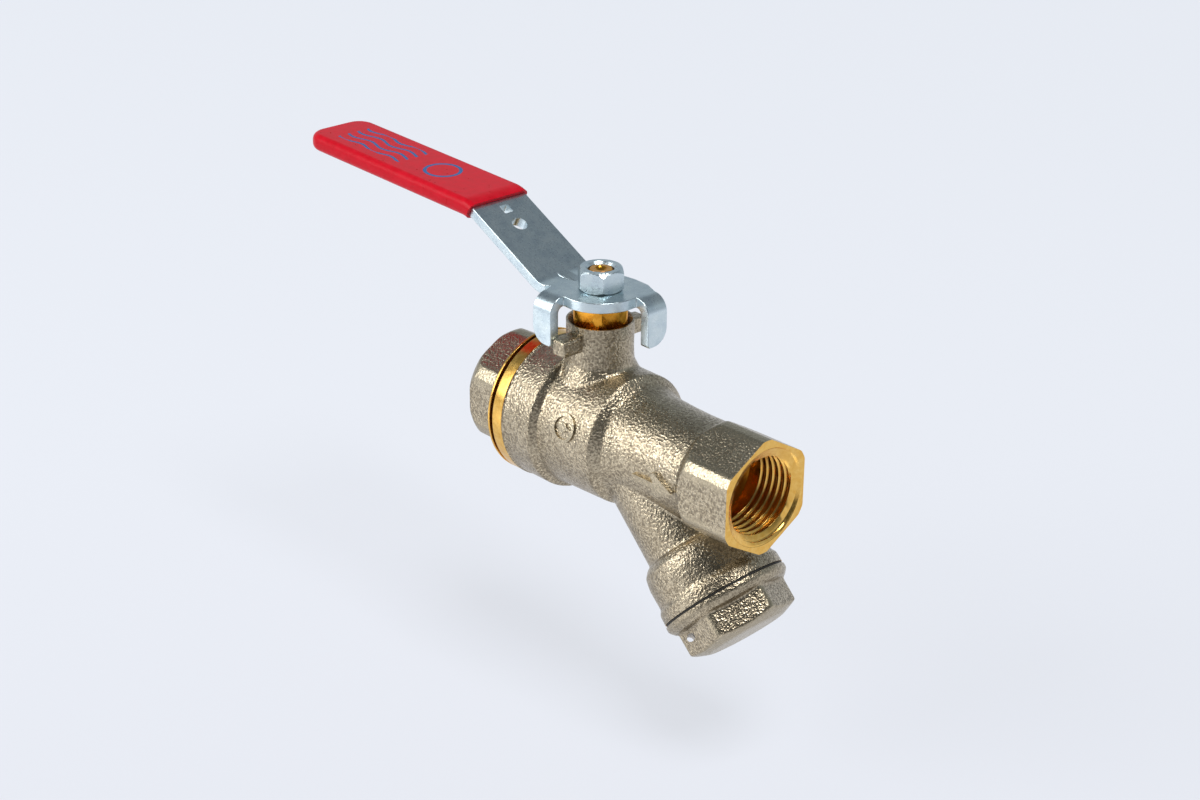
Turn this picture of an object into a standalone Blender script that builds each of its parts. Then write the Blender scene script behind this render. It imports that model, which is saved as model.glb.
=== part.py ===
"""DN 15 (G 1/2) brass lever ball valve with a built-in Y strainer, for water.

Metres, +Z up. The origin is the ball's centre, where the pipe's axis crosses the stem's axis.
Water enters at the -X end, passes the ball, goes down into the strainer's branch and leaves at
the +X end. The valve stands open, with its lever over the inlet.
"""

import math

import bmesh
import bpy
from mathutils import Matrix

MM = 0.001
GAP = 0.3 * MM  # clearance that neighbouring pieces keep
THREAD_GAP = 0.25 * MM  # clearance between an outer and an inner thread
ROUND = 36  # facets around the large turned pieces
SMALL_ROUND = 24  # facets around the small ones
REACH = 1 * MM  # how far a cutter runs past the face that it opens

# Pipe line, along X
OUTLET_X = 53.2 * MM
INLET_X = -31.0 * MM
PIPE_THREAD_R = 9.6 * MM  # mean radius of the G 1/2 female thread
PIPE_THREAD_DEPTH = 14.5 * MM
PIPE_MOUTH_R = 11.5 * MM  # chamfer at the mouth of the thread
PIPE_MOUTH_DEPTH = 1.4 * MM
OUTLET_BORE_R = 8.4 * MM
OUTLET_BORE_X = 26.5 * MM  # where the outlet's bore starts, past the strainer's partition
OUTLET_HEX = 25.0 * MM  # across flats
OUTLET_HEX_LENGTH = 15.4 * MM
INLET_HEX = 27.0 * MM
HEX_ROUND = 3.1 * MM  # how far the rounding of a forged hexagon's corner runs along its flats
HEX_CHAMFER = 0.35 * MM

# Ball, seats and chamber
BALL_R = 12.2 * MM
PORT_R = 7.2 * MM
SLOT_WIDTH = 4.0 * MM
SLOT_FLOOR = 8.9 * MM
SEAT_IN = 8.2 * MM  # inner face of a seat, from the ball's centre
SEAT_OUT = 11.3 * MM
SEAT_R = 11.3 * MM
CHAMBER_R = 13.4 * MM
CHAMBER_END = 7.6 * MM

# Valve body
BODY_LEFT = -18.2 * MM
RING_R = 17.7 * MM
RING_END = -14.6 * MM  # where the machined rim ends and the forged skin starts
BAND_R = 17.4 * MM
BAND_END = -5.4 * MM
BARREL_R = 15.9 * MM
BARREL_END_R = 15.5 * MM
BARREL_END = 12.4 * MM
TUBE_R = 12.5 * MM
TUBE_END_R = 12.0 * MM
BODY_THREAD_R = 14.8 * MM
BODY_THREAD_END = -8.5 * MM

# Inlet connector
FLANGE_LEFT = -19.9 * MM
FLANGE_RIGHT = -18.9 * MM
SPIGOT_R = BODY_THREAD_R - THREAD_GAP
SPIGOT_END = -8.8 * MM
CONNECTOR_RING_TUBE = 0.35 * MM  # half thickness of the sealing ring under the flange

# Neck and stem, along Z
NECK_R = 7.7 * MM
NECK_TOP = 26.5 * MM
STEM_POCKET_R = 5.4 * MM
STEM_POCKET_TOP = 15.6 * MM
STEM_BORE_R = 4.1 * MM
PACKING_FLOOR = 18.8 * MM
PACKING_BORE_R = 5.8 * MM
STEM_R = 3.8 * MM
STEM_FLANGE_R = 5.0 * MM
STEM_FLANGE_BOTTOM = 12.6 * MM
STEM_FLANGE_TOP = 14.2 * MM
STEM_SHOULDER = 31.0 * MM  # where the lever rests
STEM_FLATS = 5.4 * MM  # across the two flats that turn the lever
STEM_FLATS_TOP = 33.4 * MM
STEM_THREAD_R = 2.9 * MM
STEM_TOP = 38.7 * MM
O_RING_Z = 17.2 * MM
O_RING_TUBE = 0.75 * MM
PACKING_HEIGHT = 1.9 * MM
GLAND_BOTTOM = 23.4 * MM
GLAND_HEX = 11.2 * MM
GLAND_TURN = math.radians(-43)
GLAND_HEX_BOTTOM = 26.8 * MM
GLAND_TOP = 30.6 * MM
LUG_HALF = 1.8 * MM  # half width of a stop lug
LUG_REACH = 13.0 * MM
LUG_BOTTOM = 20.7 * MM
LUG_TOP = 24.0 * MM

# Lever, pressed from sheet
SHEET = 2.5 * MM
HUB_TOP = 33.8 * MM
HUB_R = 9.75 * MM
TAB_FACE = 13.7 * MM  # outer face of a stop tab, from the stem's axis
TAB_BEND = 4.0 * MM
TAB_START = 2.0 * MM  # front edge of a tab, which meets a lug
TAB_END = 8.0 * MM
TAB_BOTTOM = 22.3 * MM
TAB_CORNER = 3.5 * MM
STRIP_HALF = 8.25 * MM
STRIP_ROOT = -11.0 * MM
STRIP_SLOPE = math.radians(27.5)
STRIP_ROOT_BEND = 5.0 * MM
STRIP_RUN = 24.0 * MM  # straight slope between the two bends
STRIP_KNEE_BEND = 10.0 * MM
GRIP_SLOPE = math.radians(2.2)
GRIP_LENGTH = 59.5 * MM
GRIP_CORNER = 4.0 * MM
HANG_HOLE_R = 2.3 * MM
HANG_HOLE_RUN = 16.5 * MM  # its place along the slope

# Lever's sleeve
SLEEVE_WALL = 0.85 * MM
SLEEVE_CLEARANCE = 0.1 * MM
SLEEVE_LEAD = 1.5 * MM  # how far the sleeve reaches down the slope before the knee

# Lever nut, M6
NUT_HEX = 10.0 * MM
NUT_TURN = math.radians(-37)
NUT_BOTTOM = 33.9 * MM
NUT_TOP = 39.1 * MM
NUT_BORE_R = 3.1 * MM

# Strainer branch, along its own axis
BRANCH_X = 12.6 * MM  # where its axis crosses the pipe's axis
BRANCH_ANGLE = math.radians(44.3)  # below the pipe's axis
BRANCH_R = 11.7 * MM
HEAD_START = 27.4 * MM
HEAD_R = 14.4 * MM
LIP_START = 37.6 * MM
LIP_R = 15.2 * MM
HEAD_END = 40.8 * MM
SCREEN_PORT_R = 7.2 * MM
SCREEN_SHOULDER = 9.5 * MM
SCREEN_CHAMBER_R = 9.3 * MM
CAP_THREAD_START = 30.0 * MM
CAP_THREAD_R = 11.2 * MM

# Strainer cap
GASKET_IN_R = 11.6 * MM
GASKET_OUT_R = 15.0 * MM
GASKET_THICKNESS = 0.5 * MM
CAP_FLANGE_START = HEAD_END + GASKET_THICKNESS + 0.1 * MM
CAP_FLANGE_END = 44.0 * MM
CAP_FLANGE_R = 15.3 * MM
CAP_HEX = 24.0 * MM
CAP_END = 51.4 * MM
CAP_PLUG_START = 32.0 * MM
CAP_PLUG_R = CAP_THREAD_R - THREAD_GAP
CAP_RECESS_R = 9.2 * MM
CAP_RECESS_END = 47.0 * MM
SEAL_HOLE_R = 0.9 * MM
SEAL_HOLE_S = 46.2 * MM
SEAL_HOLE_OUT = 11.7 * MM  # from the cap's axis, so that the hole crosses one corner
CAP_TURN = math.radians(4.5)  # how far round the tightened cap's hexagon stands

# Strainer screen
SCREEN_R = 8.6 * MM
SCREEN_WALL = 0.4 * MM
RING_HEIGHT = 1.4 * MM
RING_WALL = 1.3 * MM
SCREEN_START = SCREEN_SHOULDER + GAP
SCREEN_END = CAP_RECESS_END - GAP


def clear_scene():
    for found in list(bpy.data.objects):
        bpy.data.objects.remove(found, do_unlink=True)


def make_material(name, colour, roughness, metallic):
    material = bpy.data.materials.new(name)
    material.use_nodes = True
    shader = material.node_tree.nodes["Principled BSDF"]
    shader.inputs["Base Color"].default_value = (*colour, 1)
    shader.inputs["Roughness"].default_value = roughness
    shader.inputs["Metallic"].default_value = metallic
    material.diffuse_color = (*colour, 1)
    return material


def make_empty(name, turn=(0, 0, 0), place=(0, 0, 0)):
    empty = bpy.data.objects.new(name, None)
    empty.rotation_euler = turn
    empty.location = place
    empty.empty_display_size = 5 * MM
    bpy.context.scene.collection.objects.link(empty)
    return empty


def make_object(name, bm, material=None, parent=None):
    """Closes the bmesh into an object. Without a material it is a helper that isn't rendered."""
    bmesh.ops.remove_doubles(bm, verts=bm.verts, dist=1e-7)
    bmesh.ops.recalc_face_normals(bm, faces=bm.faces)
    mesh = bpy.data.meshes.new(name)
    bm.to_mesh(mesh)
    bm.free()
    mesh.shade_smooth()
    mesh.set_sharp_from_angle(angle=math.radians(35))
    made = bpy.data.objects.new(name, mesh)
    made.parent = parent
    bpy.context.scene.collection.objects.link(made)
    if material:
        mesh.materials.append(material)
    else:
        made.hide_render = True
        made.display_type = "WIRE"
    return made


def combine(target, operation, *others):
    for other in others:
        modifier = target.modifiers.new(other.name, "BOOLEAN")
        modifier.operation = operation
        modifier.solver = "EXACT"
        modifier.object = other


def join(target, *others):
    combine(target, "UNION", *others)


def cut(target, *others):
    combine(target, "DIFFERENCE", *others)


def arc(centre, radius, start, end, steps):
    """Points on a circle in the profile's plane, angles in degrees."""
    angles = [math.radians(start + (end - start) * step / steps) for step in range(steps + 1)]
    return [(centre[0] + radius * math.cos(a), centre[1] + radius * math.sin(a)) for a in angles]


def turned(profile, along="X", steps=ROUND, closed=False):
    """Turns (distance along the axis, radius) points into a solid. A closed profile makes a ring."""
    bm = bmesh.new()
    if along == "X":
        verts = [bm.verts.new((run, 0, radius)) for run, radius in profile]
    else:
        verts = [bm.verts.new((radius, 0, run)) for run, radius in profile]
    edges = [bm.edges.new(pair) for pair in zip(verts, verts[1:])]
    if closed:
        edges.append(bm.edges.new((verts[-1], verts[0])))
    axis = (1, 0, 0) if along == "X" else (0, 0, 1)
    bmesh.ops.spin(
        bm, geom=verts + edges, cent=(0, 0, 0), axis=axis, angle=math.tau, steps=steps, use_merge=True
    )
    bmesh.ops.remove_doubles(bm, verts=bm.verts, dist=1e-7)
    return bm


def rod(start, end, radius, along="X", steps=ROUND):
    return turned([(start, 0), (start, radius), (end, radius), (end, 0)], along, steps)


def ring(start, end, inner, outer, along="X", steps=ROUND):
    profile = [(start, inner), (start, outer), (end, outer), (end, inner)]
    return turned(profile, along, steps, closed=True)


def block(low, high):
    bm = bmesh.new()
    size = [b - a for a, b in zip(low, high)]
    middle = [(a + b) / 2 for a, b in zip(low, high)]
    matrix = Matrix.Translation(middle) @ Matrix.Diagonal((*size, 1))
    bmesh.ops.create_cube(bm, size=1, matrix=matrix)
    return bm


def hexagon(start, end, across, along="X", rounding=0.0, chamfer=0.0, phase=0.0):
    """Hexagonal bar with rounded corners and chamfered ends. At phase 0 a corner points up (or to +X)."""
    bm = bmesh.new()
    bmesh.ops.create_circle(bm, cap_ends=True, segments=6, radius=across / math.sqrt(3))
    bmesh.ops.rotate(bm, verts=bm.verts, matrix=Matrix.Rotation(phase, 3, "Z"))
    bmesh.ops.rotate(bm, verts=bm.verts, matrix=Matrix.Rotation(math.radians(30), 3, "Z"))
    pulled = bmesh.ops.extrude_face_region(bm, geom=list(bm.faces))
    top = [item for item in pulled["geom"] if isinstance(item, bmesh.types.BMVert)]
    bmesh.ops.translate(bm, verts=top, vec=(0, 0, end - start))
    bmesh.ops.translate(bm, verts=bm.verts, vec=(0, 0, start))
    if rounding:
        corners = [edge for edge in bm.edges if abs(edge.verts[0].co.z - edge.verts[1].co.z) > MM]
        bmesh.ops.bevel(bm, geom=corners, offset=rounding, segments=4, profile=0.5, affect="EDGES")
    if chamfer:
        rims = [edge for edge in bm.edges if abs(edge.verts[0].co.z - edge.verts[1].co.z) < 1e-6]
        bmesh.ops.bevel(bm, geom=rims, offset=chamfer, segments=1, profile=0.5, affect="EDGES")
    if along == "X":
        bmesh.ops.rotate(bm, verts=bm.verts, matrix=Matrix.Rotation(math.radians(90), 3, "Y"))
    return bm


def pipe_mouth(face, inward):
    """Cutter for a female pipe thread that opens at the given face; inward is +1 or -1 along X."""
    return turned(
        [
            (face - inward * REACH, 0),
            (face - inward * REACH, PIPE_MOUTH_R),
            (face, PIPE_MOUTH_R),
            (face + inward * PIPE_MOUTH_DEPTH, PIPE_THREAD_R),
            (face + inward * PIPE_THREAD_DEPTH, PIPE_THREAD_R),
            (face + inward * PIPE_THREAD_DEPTH, 0),
        ]
    )


def valve_body(materials, branch):
    """One forging: barrel, outlet tube and hexagon, neck with two stop lugs, and the branch."""
    outer = [
        (BODY_LEFT, 0),
        (BODY_LEFT, RING_R - 0.5 * MM),
        (BODY_LEFT + 0.5 * MM, RING_R),
        (RING_END, RING_R),
        (RING_END + 0.2 * MM, BAND_R),
        (BAND_END, BAND_R - 0.1 * MM),
        (BAND_END + 1.6 * MM, BARREL_R),
        (BARREL_END / 2, (BARREL_R + BARREL_END_R) / 2),
        (BARREL_END, BARREL_END_R),
        (BARREL_END + 2.0 * MM, BARREL_END_R - 0.7 * MM),
        (BARREL_END + 3.8 * MM, TUBE_R + 0.8 * MM),
        (BARREL_END + 6.4 * MM, TUBE_R),
        (OUTLET_X - OUTLET_HEX_LENGTH - 4 * MM, TUBE_END_R),
        (OUTLET_X - 4 * MM, TUBE_END_R),
        (OUTLET_X - 4 * MM, 0),
    ]
    body = make_object("body", turned(outer), materials["brass"])
    hexagon_end = make_object(
        "outlet_hexagon_shape",
        hexagon(OUTLET_X - OUTLET_HEX_LENGTH, OUTLET_X, OUTLET_HEX, "X", HEX_ROUND, HEX_CHAMFER),
    )
    neck_profile = [
        (10 * MM, 0),
        (10 * MM, NECK_R + 3.0 * MM),
        (14.6 * MM, NECK_R + 2.4 * MM),
        (16.4 * MM, NECK_R + 0.9 * MM),
        (18.4 * MM, NECK_R),
        (NECK_TOP, NECK_R),
        (NECK_TOP, 0),
    ]
    neck = make_object("neck_shape", turned(neck_profile, "Z"))
    lugs = [
        make_object(
            f"lug_shape_{side}",
            block(
                (-LUG_HALF, min(side * 5 * MM, side * LUG_REACH), LUG_BOTTOM),
                (LUG_HALF, max(side * 5 * MM, side * LUG_REACH), LUG_TOP),
            ),
        )
        for side in (-1, 1)
    ]
    branch_profile = [
        (2 * MM, 0),
        (2 * MM, BRANCH_R - 0.2 * MM),
        (HEAD_START - 0.6 * MM, BRANCH_R),
        (HEAD_START + 0.8 * MM, BRANCH_R + 1.1 * MM),
        (HEAD_START + 2.4 * MM, HEAD_R - 0.6 * MM),
        (HEAD_START + 4.6 * MM, HEAD_R),
        (LIP_START, HEAD_R),
        (LIP_START + 1.0 * MM, LIP_R),
        (HEAD_END, LIP_R),
        (HEAD_END, 0),
    ]
    arm = make_object("branch_shape", turned(branch_profile), parent=branch)
    join(body, hexagon_end, neck, *lugs, arm)

    chamber = [
        (BODY_LEFT - REACH, 0),
        (BODY_LEFT - REACH, BODY_THREAD_R),
        (BODY_THREAD_END, BODY_THREAD_R),
        (BODY_THREAD_END, CHAMBER_R),
        (CHAMBER_END, CHAMBER_R),
        (CHAMBER_END, SEAT_R + GAP),
        (SEAT_OUT + GAP, SEAT_R + GAP),
        (SEAT_OUT + GAP, PORT_R),
        (BRANCH_X + 3 * MM, PORT_R),
        (BRANCH_X + 3 * MM, 0),
    ]
    bore = [(OUTLET_BORE_X, 0), (OUTLET_BORE_X, OUTLET_BORE_R), (OUTLET_X - 4 * MM, OUTLET_BORE_R)]
    bore.append((OUTLET_X - 4 * MM, 0))
    stem_bore = [
        (CHAMBER_R - 3 * MM, 0),
        (CHAMBER_R - 3 * MM, STEM_POCKET_R),
        (STEM_POCKET_TOP, STEM_POCKET_R),
        (STEM_POCKET_TOP, STEM_BORE_R),
        (PACKING_FLOOR, STEM_BORE_R),
        (PACKING_FLOOR, PACKING_BORE_R),
        (NECK_TOP - 0.6 * MM, PACKING_BORE_R),
        (NECK_TOP + REACH, PACKING_BORE_R + 1.6 * MM),
        (NECK_TOP + REACH, 0),
    ]
    strainer_bore = [
        (0, 0),
        (0, SCREEN_PORT_R),
        (SCREEN_SHOULDER, SCREEN_PORT_R),
        (SCREEN_SHOULDER, SCREEN_CHAMBER_R),
        (CAP_THREAD_START, SCREEN_CHAMBER_R),
        (CAP_THREAD_START, CAP_THREAD_R),
        (HEAD_END + REACH, CAP_THREAD_R),
        (HEAD_END + REACH, 0),
    ]
    cut(
        body,
        make_object("chamber_cutter", turned(chamber)),
        make_object("outlet_bore_cutter", turned(bore)),
        make_object("outlet_thread_cutter", pipe_mouth(OUTLET_X, -1)),
        make_object("stem_bore_cutter", turned(stem_bore, "Z", SMALL_ROUND)),
        make_object("strainer_bore_cutter", turned(strainer_bore), parent=branch),
    )


def inlet_connector(materials):
    """Screwed into the body behind the ball: hexagon, flange and threaded spigot with a seat pocket."""
    outer = [
        (INLET_X + 4 * MM, 0),
        (INLET_X + 4 * MM, 12.5 * MM),
        (FLANGE_LEFT, 12.5 * MM),
        (FLANGE_LEFT, RING_R - 0.4 * MM),
        (FLANGE_LEFT + 0.4 * MM, RING_R),
        (FLANGE_RIGHT, RING_R),
        (FLANGE_RIGHT, SPIGOT_R),
        (SPIGOT_END, SPIGOT_R),
        (SPIGOT_END, 0),
    ]
    connector = make_object("inlet_connector", turned(outer), materials["brass"])
    wrench_end = make_object(
        "inlet_hexagon_shape",
        hexagon(INLET_X, FLANGE_LEFT + 0.3 * MM, INLET_HEX, "X", HEX_ROUND, HEX_CHAMFER),
    )
    join(connector, wrench_end)
    pocket = [
        (INLET_X + 4 * MM, 0),
        (INLET_X + 4 * MM, PORT_R),
        (-SEAT_OUT - GAP, PORT_R),
        (-SEAT_OUT - GAP, SEAT_R + GAP),
        (SPIGOT_END + REACH, SEAT_R + GAP),
        (SPIGOT_END + REACH, 0),
    ]
    cut(
        connector,
        make_object("inlet_pocket_cutter", turned(pocket)),
        make_object("inlet_thread_cutter", pipe_mouth(INLET_X, 1)),
    )
    middle = (FLANGE_RIGHT + BODY_LEFT) / 2
    seal = arc((middle, SPIGOT_R + GAP + CONNECTOR_RING_TUBE), CONNECTOR_RING_TUBE, 0, 300, 5)
    make_object("connector_o_ring", turned(seal, closed=True), materials["rubber"])


def seats(materials):
    """Two PTFE rings, hollowed to the ball."""
    touch = BALL_R + GAP
    inner_r = PORT_R + GAP
    start = math.degrees(math.asin(inner_r / touch))
    end = math.degrees(math.acos(SEAT_IN / touch))
    face = arc((0, 0), touch, start, end, 4)
    for name, side in (("outlet_seat", 1), ("inlet_seat", -1)):
        profile = [(SEAT_OUT, inner_r), *face, (SEAT_IN, SEAT_R), (SEAT_OUT, SEAT_R)]
        profile = [(side * run, radius) for run, radius in profile]
        make_object(name, turned(profile, closed=True), materials["ptfe"])


def ball(materials, axis):
    edge = math.degrees(math.asin(PORT_R / BALL_R))
    profile = arc((0, 0), BALL_R, edge, 180 - edge, 14)
    made = make_object("ball", turned(profile, closed=True), materials["chrome"], axis)
    slot = block(
        (-SLOT_WIDTH / 2, -BALL_R - REACH, SLOT_FLOOR), (SLOT_WIDTH / 2, BALL_R + REACH, BALL_R + REACH)
    )
    cut(made, make_object("ball_slot_cutter", slot, parent=axis))


def stem(materials, axis):
    """Blow-out-proof stem: its flange is under the neck, and a tang sits in the ball's slot."""
    groove_r = STEM_R - 1.1 * MM
    groove = O_RING_TUBE + 0.2 * MM
    profile = [
        (STEM_FLANGE_BOTTOM, 0),
        (STEM_FLANGE_BOTTOM, STEM_FLANGE_R),
        (STEM_FLANGE_TOP, STEM_FLANGE_R),
        (STEM_FLANGE_TOP, STEM_R),
        (O_RING_Z - groove, STEM_R),
        (O_RING_Z - groove, groove_r),
        (O_RING_Z + groove, groove_r),
        (O_RING_Z + groove, STEM_R),
        (STEM_SHOULDER, STEM_R),
        (STEM_SHOULDER + 0.01 * MM, STEM_R - 0.2 * MM),
        (STEM_FLATS_TOP, STEM_R - 0.2 * MM),
        (STEM_FLATS_TOP, STEM_THREAD_R),
        (STEM_TOP - 0.4 * MM, STEM_THREAD_R),
        (STEM_TOP, STEM_THREAD_R - 0.4 * MM),
        (STEM_TOP, 1.4 * MM),
        (STEM_TOP - 1.4 * MM, 0),
    ]
    made = make_object("stem", turned(profile, "Z", SMALL_ROUND), materials["brass"], axis)
    tang = block(
        (GAP - SLOT_WIDTH / 2, -4.2 * MM, SLOT_FLOOR + GAP),
        (SLOT_WIDTH / 2 - GAP, 4.2 * MM, STEM_FLANGE_BOTTOM + 0.5 * MM),
    )
    join(made, make_object("tang_shape", tang, parent=axis))
    for side in (-1, 1):
        low, high = sorted((side * STEM_FLATS / 2, side * (STEM_R + REACH)))
        flat = block(
            (low, -STEM_R - REACH, STEM_SHOULDER), (high, STEM_R + REACH, STEM_FLATS_TOP + GAP / 2)
        )
        cut(made, make_object(f"stem_flat_cutter_{side}", flat, parent=axis))
    seal = arc((O_RING_Z, groove_r + 0.15 * MM + O_RING_TUBE * 0.8), O_RING_TUBE * 0.8, 0, 315, 7)
    make_object("stem_o_ring", turned(seal, "Z", SMALL_ROUND, True), materials["rubber"], axis)


def gland(materials):
    """Thrust washer under the neck, two packing rings above, and the nut that squeezes them."""
    inner = STEM_R + 0.15 * MM
    outer = PACKING_BORE_R - 0.15 * MM
    washer = ring(
        STEM_FLANGE_TOP + 0.2 * MM, STEM_POCKET_TOP - 0.2 * MM, inner, STEM_FLANGE_R, "Z", SMALL_ROUND
    )
    make_object("stem_thrust_washer", washer, materials["ptfe"])
    for number, name in enumerate(("packing_ring_lower", "packing_ring_upper")):
        bottom = PACKING_FLOOR + 0.2 * MM + number * (PACKING_HEIGHT + 0.2 * MM)
        packing = ring(bottom, bottom + PACKING_HEIGHT, inner, outer, "Z", SMALL_ROUND)
        make_object(name, packing, materials["ptfe"])
    nut = make_object(
        "gland_nut",
        rod(GLAND_BOTTOM, GLAND_HEX_BOTTOM + 0.5 * MM, outer, "Z", SMALL_ROUND),
        materials["brass"],
    )
    head = hexagon(GLAND_HEX_BOTTOM, GLAND_TOP, GLAND_HEX, "Z", 0.5 * MM, 0.3 * MM, GLAND_TURN)
    join(nut, make_object("gland_head_shape", head))
    bore = rod(GLAND_BOTTOM - REACH, GLAND_TOP + REACH, STEM_R + GAP, "Z", SMALL_ROUND)
    cut(nut, make_object("gland_bore_cutter", bore))


def pull(bm, edges, vec):
    """Extrudes sheet edges by a vector and gives the new edges."""
    made = bmesh.ops.extrude_edge_only(bm, edges=edges)["geom"]
    bmesh.ops.translate(bm, verts=[v for v in made if isinstance(v, bmesh.types.BMVert)], vec=vec)
    return [edge for edge in made if isinstance(edge, bmesh.types.BMEdge)]


def bend(bm, edges, centre, axis, angle, steps):
    """Spins sheet edges around a bend's axis and gives the last edges."""
    verts = list({vert for edge in edges for vert in edge.verts})
    last = bmesh.ops.spin(
        bm, geom=verts + edges, cent=centre, axis=axis, angle=angle, steps=steps
    )["geom_last"]
    return [edge for edge in last if isinstance(edge, bmesh.types.BMEdge)]


def grip_path(bm, edges, start_x, start_z, rise_bend, run, grip_length):
    """Carries the lever's sheet up the slope, over the knee and along the grip."""
    if rise_bend:
        centre = (start_x, 0, start_z + rise_bend)
        edges = bend(bm, edges, centre, (0, 1, 0), STRIP_SLOPE, 4)
    slope = (-run * math.cos(STRIP_SLOPE), 0, run * math.sin(STRIP_SLOPE))
    edges = pull(bm, edges, slope)
    knee = edges[0].verts[0].co
    normal = (math.sin(STRIP_SLOPE), 0, math.cos(STRIP_SLOPE))
    centre = [knee[0] - STRIP_KNEE_BEND * normal[0], 0, knee[2] - STRIP_KNEE_BEND * normal[2]]
    edges = bend(bm, edges, centre, (0, -1, 0), STRIP_SLOPE - GRIP_SLOPE, 6)
    along = (-grip_length * math.cos(GRIP_SLOPE), 0, grip_length * math.sin(GRIP_SLOPE))
    return pull(bm, edges, along)


def round_corners(bm, edges, offset, segments):
    """Rounds the free corners at the end of a strip."""
    verts = list({vert for edge in edges for vert in edge.verts if len(vert.link_edges) == 2})
    bmesh.ops.bevel(
        bm, geom=verts, offset=offset, segments=segments, profile=0.5, affect="VERTICES"
    )


def lever(materials, axis):
    """Zinc-plated sheet: hub, two stop tabs bent down, and the strip that rises to the grip."""
    bm = bmesh.new()
    bend_line = TAB_FACE - TAB_BEND
    front = arc((0, 0), HUB_R, -101, 11, 10)
    outline = [
        (-TAB_END, -bend_line),
        (-TAB_START, -bend_line),
        *front[1:-1],
        (bend_line, TAB_START),
        (bend_line, TAB_END),
        (5.5 * MM, 9.6 * MM),
        (1.0 * MM, 10.0 * MM),
        (-5.0 * MM, 9.3 * MM),
        (STRIP_ROOT, STRIP_HALF),
        (STRIP_ROOT, -STRIP_HALF),
        (-9.6 * MM, -STRIP_HALF),
        (-8.7 * MM, -7.2 * MM),
    ]
    verts = [bm.verts.new((x, y, HUB_TOP)) for x, y in outline]
    hub = bm.faces.new(verts)
    bm.verts.index_update()
    edges = {frozenset(vert.index for vert in edge.verts): edge for edge in hub.edges}
    first_tab = edges[frozenset((0, 1))]
    second = 2 + len(front) - 2
    second_tab = edges[frozenset((second, second + 1))]
    strip = edges[frozenset((second + 5, second + 6))]
    bend_z = HUB_TOP - TAB_BEND
    drop = (0, 0, TAB_BOTTOM - bend_z)
    for edge, centre, turn, outer_corner in (
        (first_tab, (0, -bend_line, bend_z), (1, 0, 0), (-TAB_END, -TAB_FACE)),
        (second_tab, (bend_line, 0, bend_z), (0, 1, 0), (TAB_FACE, TAB_END)),
    ):
        end = pull(bm, bend(bm, [edge], centre, turn, math.radians(90), 5), drop)
        corner = min(
            (vert for item in end for vert in item.verts),
            key=lambda v: math.hypot(v.co.x - outer_corner[0], v.co.y - outer_corner[1]),
        )
        bmesh.ops.bevel(
            bm, geom=[corner], offset=TAB_CORNER, segments=4, profile=0.5, affect="VERTICES"
        )
    end = grip_path(bm, [strip], STRIP_ROOT, HUB_TOP, STRIP_ROOT_BEND, STRIP_RUN, GRIP_LENGTH)
    round_corners(bm, end, GRIP_CORNER, 4)
    plate = make_object("lever", bm, materials["zinc"], axis)
    thicken(plate, SHEET)
    opening = rod(HUB_TOP - 4 * MM, HUB_TOP + MM, STEM_R, "Z", SMALL_ROUND)
    hole = make_object("lever_hole_cutter", opening, parent=axis)
    for side in (-1, 1):
        low, high = sorted((side * (STEM_FLATS / 2 + GAP), side * 6 * MM))
        flat = block((low, -6 * MM, HUB_TOP - 5 * MM), (high, 6 * MM, HUB_TOP + 2 * MM))
        cut(hole, make_object(f"lever_hole_flat_{side}", flat, parent=axis))
    cut(plate, hole, make_object("hang_hole_cutter", hang_hole(), parent=axis))


def thicken(made, thickness):
    """Gives a sheet its thickness, below its drawn face."""
    solidify = made.modifiers.new("sheet_thickness", "SOLIDIFY")
    solidify.thickness = thickness
    solidify.offset = -1
    solidify.use_even_offset = True


def hang_hole():
    """Round hole through the slope of the strip, square to it."""
    bm = rod(-5 * MM, 5 * MM, HANG_HOLE_R, "Z", SMALL_ROUND)
    bmesh.ops.rotate(bm, verts=bm.verts, matrix=Matrix.Rotation(STRIP_SLOPE, 3, "Y"))
    root_x = STRIP_ROOT - STRIP_ROOT_BEND * math.sin(STRIP_SLOPE)
    root_z = HUB_TOP + STRIP_ROOT_BEND * (1 - math.cos(STRIP_SLOPE))
    run = HANG_HOLE_RUN
    place = (root_x - run * math.cos(STRIP_SLOPE), 0, root_z + run * math.sin(STRIP_SLOPE))
    bmesh.ops.translate(bm, verts=bm.verts, vec=place)
    return bm


def sleeve_shape(name, half_width, drawn_above, lead, extra, corner, material, axis):
    """Strip that follows the lever's grip; drawn_above lifts its top face over the steel's."""
    run = STRIP_RUN - lead
    start_x = STRIP_ROOT - STRIP_ROOT_BEND * math.sin(STRIP_SLOPE) - run * math.cos(STRIP_SLOPE)
    start_z = HUB_TOP + STRIP_ROOT_BEND * (1 - math.cos(STRIP_SLOPE)) + run * math.sin(STRIP_SLOPE)
    bm = bmesh.new()
    ends = [bm.verts.new((start_x, side * half_width, start_z)) for side in (1, -1)]
    edge = bm.edges.new(ends)
    end = grip_path(bm, [edge], start_x, start_z, 0, lead, GRIP_LENGTH + extra)
    round_corners(bm, end, corner, 5)
    made = make_object(name, bm, material, axis)
    top_up = [face for face in made.data.polygons if face.normal.z < 0]
    if top_up:
        made.data.flip_normals()
    shift = made.modifiers.new("lift", "DISPLACE")
    shift.direction = "NORMAL"
    shift.strength = drawn_above
    shift.mid_level = 0
    thicken(made, SHEET + 2 * drawn_above)
    return made


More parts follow.
